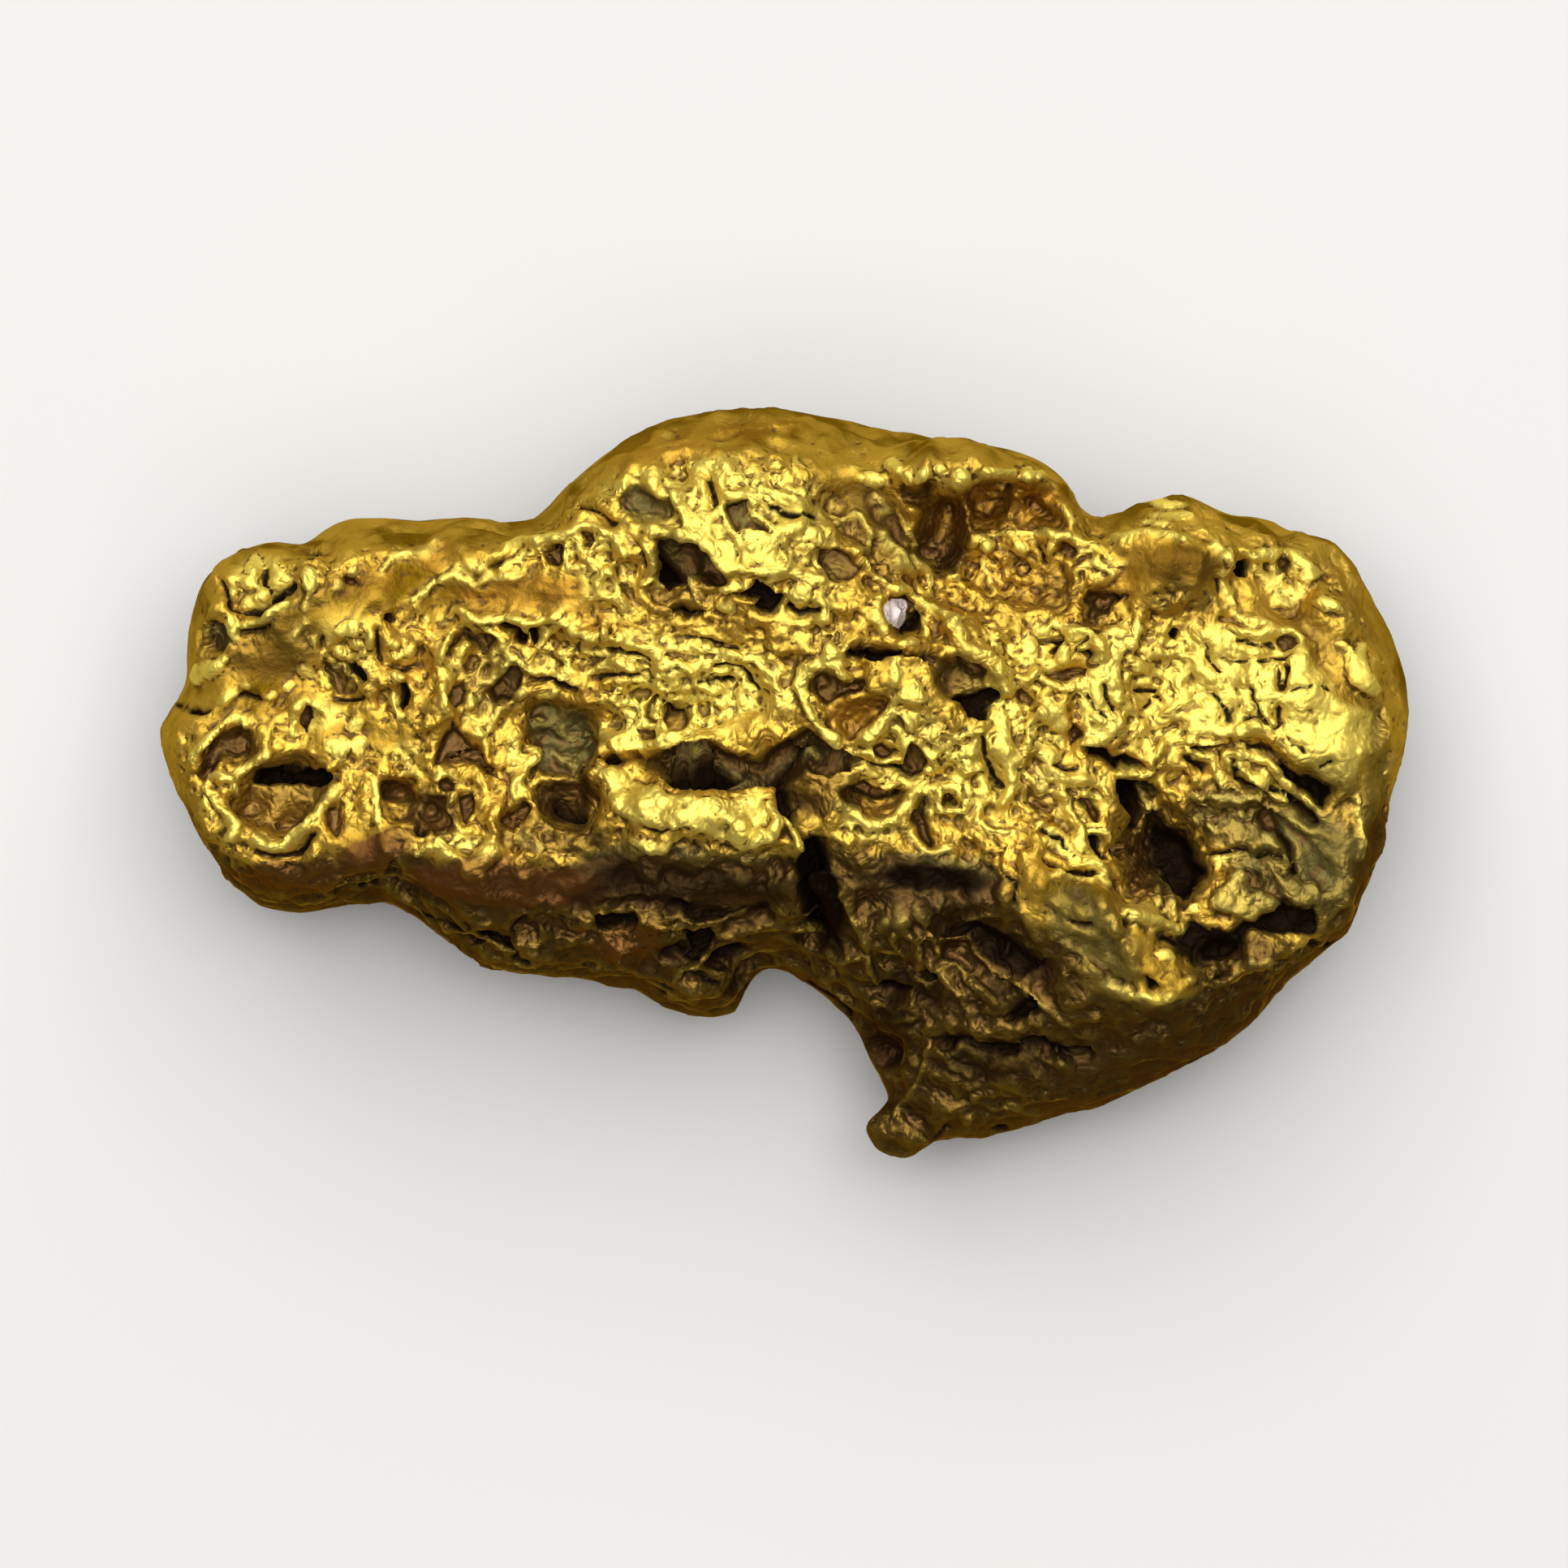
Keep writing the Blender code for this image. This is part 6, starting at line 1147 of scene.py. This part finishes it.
def shaped():
    noise.seed_set(NOISE_SEED)
    mesh = smooth_lump()
    mesh = with_modifier(mesh, "REMESH", mode="VOXEL", voxel_size=FINE_STEP * 1.4, adaptivity=0.0)
    points = coordinates(mesh)
    outward = normals(mesh)
    up_side = smooth(0.05, 0.5, outward[:, 2])
    x, y = wandered(points)
    relief = up_side * face_relief(x, y, False) + (1.0 - 0.85 * at_widest(points, outward)) * worn_lumps(points)
    place(mesh, points + push_direction(outward, up_side) * relief[:, None])
    mesh = with_modifier(mesh, "REMESH", mode="VOXEL", voxel_size=FINE_STEP, adaptivity=0.0)

    points = coordinates(mesh)
    outward = normals(mesh)
    up_side = smooth(-0.1, 0.4, outward[:, 2])
    x, y = wandered(points)
    broad = face_relief(x, y, False)
    small = face_relief(x, y, True)
    rubbed = smooth_share(x, y)
    placed = hand_made(x, y)
    rubbed *= 1.0 - 0.8 * placed
    calm = 1.0 - 0.75 * at_widest(points, outward)
    patchy = smooth(-0.25, 0.35, each(noise.noise, points, 0.7, (5.0, 1.0, 8.0)))
    # The lower front slope, painted dark as shade, with less painted highlight and less texture.
    slope = smooth(0.0, 0.5, to_face_edge(x, y)) * smooth(0.5, -1.5, y)
    bright = tone_cover(x, y, "bright", slope)
    clustered = 0.42 + 0.28 * patchy + 0.15 * bright
    rough = (1.0 - 0.9 * rubbed) * calm * clustered * (1.0 - 0.2 * slope) * (1.0 - 0.7 * placed)
    fine = 0.05 * blobs(points, 2.3, 0.75) + 0.055 * blobs(points, 4.2, 0.75)
    fine += 0.055 * terraces(points, 1.7, 3.2) + 0.04 * terraces(points, 3.1, 2.6)
    away = np.hypot(x - QUARTZ_AT[0], y - QUARTZ_AT[1]) + 9.0 * (outward[:, 2] < 0.0)
    grain_x, grain_y = points[int(away.argmin()), :2]
    grain = oval(points[:, 0], points[:, 1], grain_x, grain_y, *QUARTZ_HALF, 0)
    rough *= smooth(1.0, 1.3, grain)
    small += long_folds(points, x, y) * (1.0 - 0.9 * placed)
    small = np.where(small > 0.0, 0.6 * small, 0.85 * small)
    relief = up_side * calm * small + rough * fine
    relief += QUARTZ_RISE * up_side * np.clip(1.0 - grain**2, 0.0, 1.0)
    points += (outward + np.array([0.0, 0.0, 0.4]) * up_side[:, None]) * relief[:, None]
    place(mesh, points)
    sharpened(mesh, 4, 0.45)
    points = coordinates(mesh)
    points[:, 2] = np.maximum(points[:, 2] - (points[:, 2].min() + WORN_DEPTH), 0.0)
    start, top = TOP_LEVELS
    over = np.maximum(points[:, 2] - start, 0.0)
    points[:, 2] -= over - (top - start) * np.tanh(over / (top - start))
    low, high = points.min(axis=0), points.max(axis=0)
    points[:, :2] -= (low + high)[:2] / 2.0
    place(mesh, points)

    up = smooth(-0.2, 0.3, outward[:, 2])
    for name in TONES:
        cover = bright if name == "bright" else tone_cover(x, y, name, slope)
        # Painted shade: every face turned downwards is painted dark as well.
        if name == "brown":
            cover = np.maximum(cover * up, 0.65 * (1.0 - up))
        else:
            cover = cover * up
        keep(mesh, name, cover)
    keep(mesh, "rubbed", rubbed)
    keep(mesh, "quartz", (1.0 - smooth(0.9, 1.08, grain)) * up)
    keep(mesh, "depth", -(broad + small) * up)
    keep(mesh, "crease", dip_of(mesh, 6))
    keep(mesh, "hollow", dip_of(mesh, 60))
    spared = smooth(0.1, -0.3, outward[:, 2])
    mesh = with_modifier(mesh, "DECIMATE", spared, ratio=TRIANGLES / (2.0 * len(mesh.polygons)))
    place(mesh, coordinates(mesh) * MM)
    mesh.shade_smooth()
    return mesh


class Shade:
    """A socket of a material's node tree, with arithmetic that adds the nodes it needs."""

    def __init__(self, tree, socket):
        self.tree = tree
        self.socket = socket

    def node(self, kind, settings=(), out=0, **values):
        made = self.tree.nodes.new(kind)
        for name, value in dict(settings).items():
            if name == "stops":
                fill_ramp(made.color_ramp, value)
            else:
                setattr(made, name, value)
        for name, value in values.items():
            key = int(name[1:]) if name[1:].isdigit() else name.replace("_", " ").title()
            target = made.inputs[key]
            if isinstance(value, Shade):
                self.tree.links.new(value.socket, target)
            else:
                target.default_value = value
        return Shade(self.tree, made.outputs[out])

    def math(self, operation, *values):
        named = {f"i{i}": value for i, value in enumerate(values)}
        return self.node("ShaderNodeMath", {"operation": operation}, **named)

    def __add__(self, other):
        return self.math("ADD", self, other)

    def __sub__(self, other):
        return self.math("SUBTRACT", self, other)

    def __rsub__(self, other):
        return self.math("SUBTRACT", other, self)

    def __mul__(self, other):
        return self.math("MULTIPLY", self, other)

    __radd__ = __add__
    __rmul__ = __mul__

    def blend(self, low, high):
        """0 below low, 1 above high, and an even curve between."""
        return self.node(
            "ShaderNodeMapRange", {"interpolation_type": "SMOOTHSTEP"}, i0=self, i1=low, i2=high
        )

    def mix(self, first, second):
        """The first colour where this value is 0, the second where it is 1."""
        return self.node("ShaderNodeMix", {"data_type": "RGBA"}, out=2, i0=self, i6=first, i7=second)


def fill_ramp(ramp, stops):
    while len(ramp.elements) < len(stops):
        ramp.elements.new(0.5)
    for element, (position, colour) in zip(ramp.elements, stops):
        element.position = position
        element.color = colour


def material(name):
    """A new material: its shader node, and a first Shade to build from, the place on the object."""
    made = bpy.data.materials.new(name)
    made.use_nodes = True
    tree = made.node_tree
    shader = tree.nodes["Principled BSDF"]
    where = Shade(tree, tree.nodes.new("ShaderNodeTexCoord").outputs["Object"])
    return made, shader, where


def stored(where, name):
    return where.node("ShaderNodeAttribute", {"attribute_name": name}, out=2)


# Colours of the metal. Among them are painted highlight (the lightest gold), painted shade (the ochre on the rubbed
# bands, and the darker tones of valleys, pits, the cave and the lower side), stain, and patina in the hollows and
# creases, which is painted shade there as well.
GOLD = (0.60, 0.38, 0.050, 1.0)
OCHRE_MOTTLE_AND_SHADE = (0.15, 0.085, 0.002, 1.0)
PAINTED_HIGHLIGHT_GOLD = (1.0, 0.81, 0.155, 1.0)
GROOVE_PAINTED_SHADE = (0.10, 0.055, 0.012, 1.0)
PAINTED_ORANGE_SHADE = (0.32, 0.155, 0.016, 1.0)
PAINTED_OLIVE_SHADE = (0.075, 0.074, 0.026, 1.0)
BROWN_STAIN_AND_SHADE = (0.040, 0.020, 0.008, 1.0)
RED_BROWN = (0.10, 0.037, 0.011, 1.0)
PATINA_AND_SHADE_BROWN = (0.085, 0.043, 0.016, 1.0)
QUARTZ = (0.40, 0.35, 0.34, 1.0)
PAINTED_AMBER_SHADE = (0.27, 0.13, 0.010, 1.0)
PAINTED_BLACK_SHADE = (0.010, 0.006, 0.003, 1.0)
# What the metal keeps of the light that glances off it.
EDGE_TINT = (0.62, 0.42, 0.10, 1.0)


def gold_finish():
    made, shader, where = material("native gold")
    links = made.node_tree.links
    millimetres = where.node(
        "ShaderNodeVectorMath", {"operation": "SCALE"}, i0=where, Scale=1.0 / MM
    )
    rubbed = stored(where, "rubbed")
    crease = stored(where, "crease")
    hollow = stored(where, "hollow")
    depth = stored(where, "depth")
    rough = 1.0 - 0.85 * rubbed
    bright = stored(where, "bright")
    wander = where.node("ShaderNodeTexNoise", out=1, Vector=millimetres, Scale=1.6, Detail=1.0)
    bent = where.node("ShaderNodeVectorMath", {"operation": "MULTIPLY_ADD"}, i0=wander, i1=(0.6,) * 3, i2=millimetres)
    grains = where.node("ShaderNodeTexVoronoi", Vector=bent, Scale=4.4)
    dome = 1.0 - grains.blend(0.0, 0.8)
    contour = where.node("ShaderNodeTexNoise", Vector=bent, Scale=0.85, Detail=1.0)
    strand = (contour * 62.0).math("SINE")
    web = where.node("ShaderNodeTexNoise", Vector=bent, Scale=2.8, Detail=1.0)
    groove_web = 1.0 - (web - 0.5).math("ABSOLUTE").blend(0.0, 0.03)
    where_grooves = where.node("ShaderNodeTexNoise", Vector=millimetres, Scale=0.9, Detail=1.0)
    groove_web = groove_web * where_grooves.blend(0.42, 0.56)
    trough = strand.blend(-0.55, -0.95) * where_grooves.blend(0.60, 0.48)
    crinkle = where.node("ShaderNodeTexNoise", Vector=millimetres, Scale=7.0, Detail=2.0)
    height = rough * (0.030 * dome + 0.010 * strand - 0.035 * groove_web) + (0.012 + 0.03 * rubbed) * crinkle
    bump = where.node("ShaderNodeBump", Strength=1.0, Distance=MM, Height=height)
    links.new(bump.socket, shader.inputs["Normal"])

    high = hollow.blend(0.06, -0.12)
    sheltered = 1.0 - 0.25 * high
    mottle = where.node("ShaderNodeTexNoise", Vector=millimetres, Scale=0.7, Detail=3.0).blend(0.4, 0.65)
    # Random mottling towards ochre, and painted shade: the rubbed bands are darker ochre.
    colour = (0.25 * mottle + rubbed * (0.6 + 0.4 * mottle)).mix(GOLD, OCHRE_MOTTLE_AND_SHADE)
    # Painted highlight: lighter, yellower gold.
    colour = bright.mix(colour, PAINTED_HIGHLIGHT_GOLD)
    # Painted shade: a darker, deeper-coloured gold.
    colour = (stored(where, "orange") * 0.9).mix(colour, PAINTED_ORANGE_SHADE)
    # Painted shade: a dark greenish tone for dark surroundings reflected.
    colour = (stored(where, "olive").blend(0.0, 0.9) * sheltered).mix(colour, PAINTED_OLIVE_SHADE)
    # Brownish stain, and painted shade on the lower and downward faces.
    colour = (stored(where, "brown").blend(0.0, 0.9) * sheltered).mix(colour, BROWN_STAIN_AND_SHADE)
    colour = (stored(where, "red").blend(0.0, 0.9) * sheltered).mix(colour, RED_BROWN)
    # Patina in the hollows, and painted shade: hollows and the deeper placed forms are darker, less so under the
    # painted highlight.
    open_face = 1.0 - 0.5 * bright
    colour = (hollow.blend(0.02, 0.26) * 0.75 * open_face).mix(colour, PATINA_AND_SHADE_BROWN)
    colour = (depth.blend(0.3, 1.1) * 0.5).mix(colour, PATINA_AND_SHADE_BROWN)
    # Painted shade: a deep reddish gold in the cave.
    colour = stored(where, "amber").mix(colour, PAINTED_AMBER_SHADE)
    # Patina and painted shade in the small creases.
    colour = (crease.blend(0.006, 0.024) * 0.85).mix(colour, PATINA_AND_SHADE_BROWN)
    # Painted shade: very dark in deep holes, creases and the lower middle.
    colour = stored(where, "black").blend(0.05, 0.8).mix(colour, PAINTED_BLACK_SHADE)
    # Painted shade along the fine grooves of the bump, left off where the very dark shade is painted.
    lines = groove_web.math("MAXIMUM", trough * 0.8)
    unshaded = 1.0 - stored(where, "black").blend(0.05, 0.8)
    colour = (lines * rough * unshaded * (0.7 + 0.25 * bright)).mix(colour, GROOVE_PAINTED_SHADE)
    quartz = stored(where, "quartz").blend(0.35, 0.65)
    colour = quartz.mix(colour, QUARTZ)
    links.new(colour.socket, shader.inputs["Base Color"])
    shader.inputs["Specular Tint"].default_value = EDGE_TINT
    metal = 1.0 - quartz
    links.new(metal.socket, shader.inputs["Metallic"])
    worn = stored(where, "brown").math("MAXIMUM", stored(where, "olive"))
    roughness = 0.42 + 0.20 * rubbed + 0.05 * bright + 0.15 * worn + 0.2 * stored(where, "black") + 0.1 * crinkle
    links.new(roughness.socket, shader.inputs["Roughness"])
    return made


nugget = bpy.data.objects.new("nugget_skin", shaped())
bpy.context.scene.collection.objects.link(nugget)
nugget.data.materials.append(gold_finish())
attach(nugget, "root")
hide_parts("nugget")

# --------------------------------------------------------------------------------------------------
# The studio: a plain pale floor, a soft key light behind and above, a wide dim light overhead, and an
# even dark grey surround.
# --------------------------------------------------------------------------------------------------

FLOOR_SIZE = 3.0
SURROUND = (0.16, 0.16, 0.16, 1.0)
# Each light: name, side, distance from the nugget, angle back from straight up, watts.
LIGHTS = (("key light", 0.75, 0.60, 30.0, 9.6), ("overhead light", 0.55, 0.62, -6.0, 4.0))

bpy.ops.mesh.primitive_plane_add(size=FLOOR_SIZE)
floor = bpy.context.object
floor.name = "floor"
floor_paint, floor_shader, floor_where = material("pale floor")
floor_shader.inputs["Base Color"].default_value = (0.33, 0.323, 0.313, 1.0)
floor_shader.inputs["Roughness"].default_value = 0.7
floor.data.materials.append(floor_paint)

for name, side, distance, back, watts in LIGHTS:
    lamp = bpy.data.lights.new(name, "AREA")
    lamp.shape = "SQUARE"
    lamp.size = side
    lamp.energy = watts
    soft_box = bpy.data.objects.new(name, lamp)
    tilt = math.radians(back)
    soft_box.location = (0.0, distance * math.sin(tilt), distance * math.cos(tilt))
    soft_box.rotation_euler = (-tilt, 0.0, 0.0)
    bpy.context.scene.collection.objects.link(soft_box)

surround = bpy.data.worlds.new("surround")
surround.use_nodes = True
surround.node_tree.nodes["Background"].inputs["Color"].default_value = SURROUND
bpy.context.scene.world = surround
bpy.context.scene.view_settings.view_transform = "Standard"

# --------------------------------------------------------------------------------------------------
# The camera: a long lens straight above the face, with the nugget filling four fifths of the frame.
# --------------------------------------------------------------------------------------------------

FRAME_WIDTH = 38.64 * MM
LENS = 400.0
SENSOR = 36.0
FRAMED_LEVEL = 5.0 * MM

camera_data = bpy.data.cameras.new("camera")
camera_data.lens = LENS
camera_data.sensor_width = SENSOR
camera_data.clip_start = 0.01
camera = bpy.data.objects.new("camera", camera_data)
camera.location = (0.0, 0.0, FRAMED_LEVEL + FRAME_WIDTH * LENS / SENSOR)
bpy.context.scene.collection.objects.link(camera)
bpy.context.scene.camera = camera
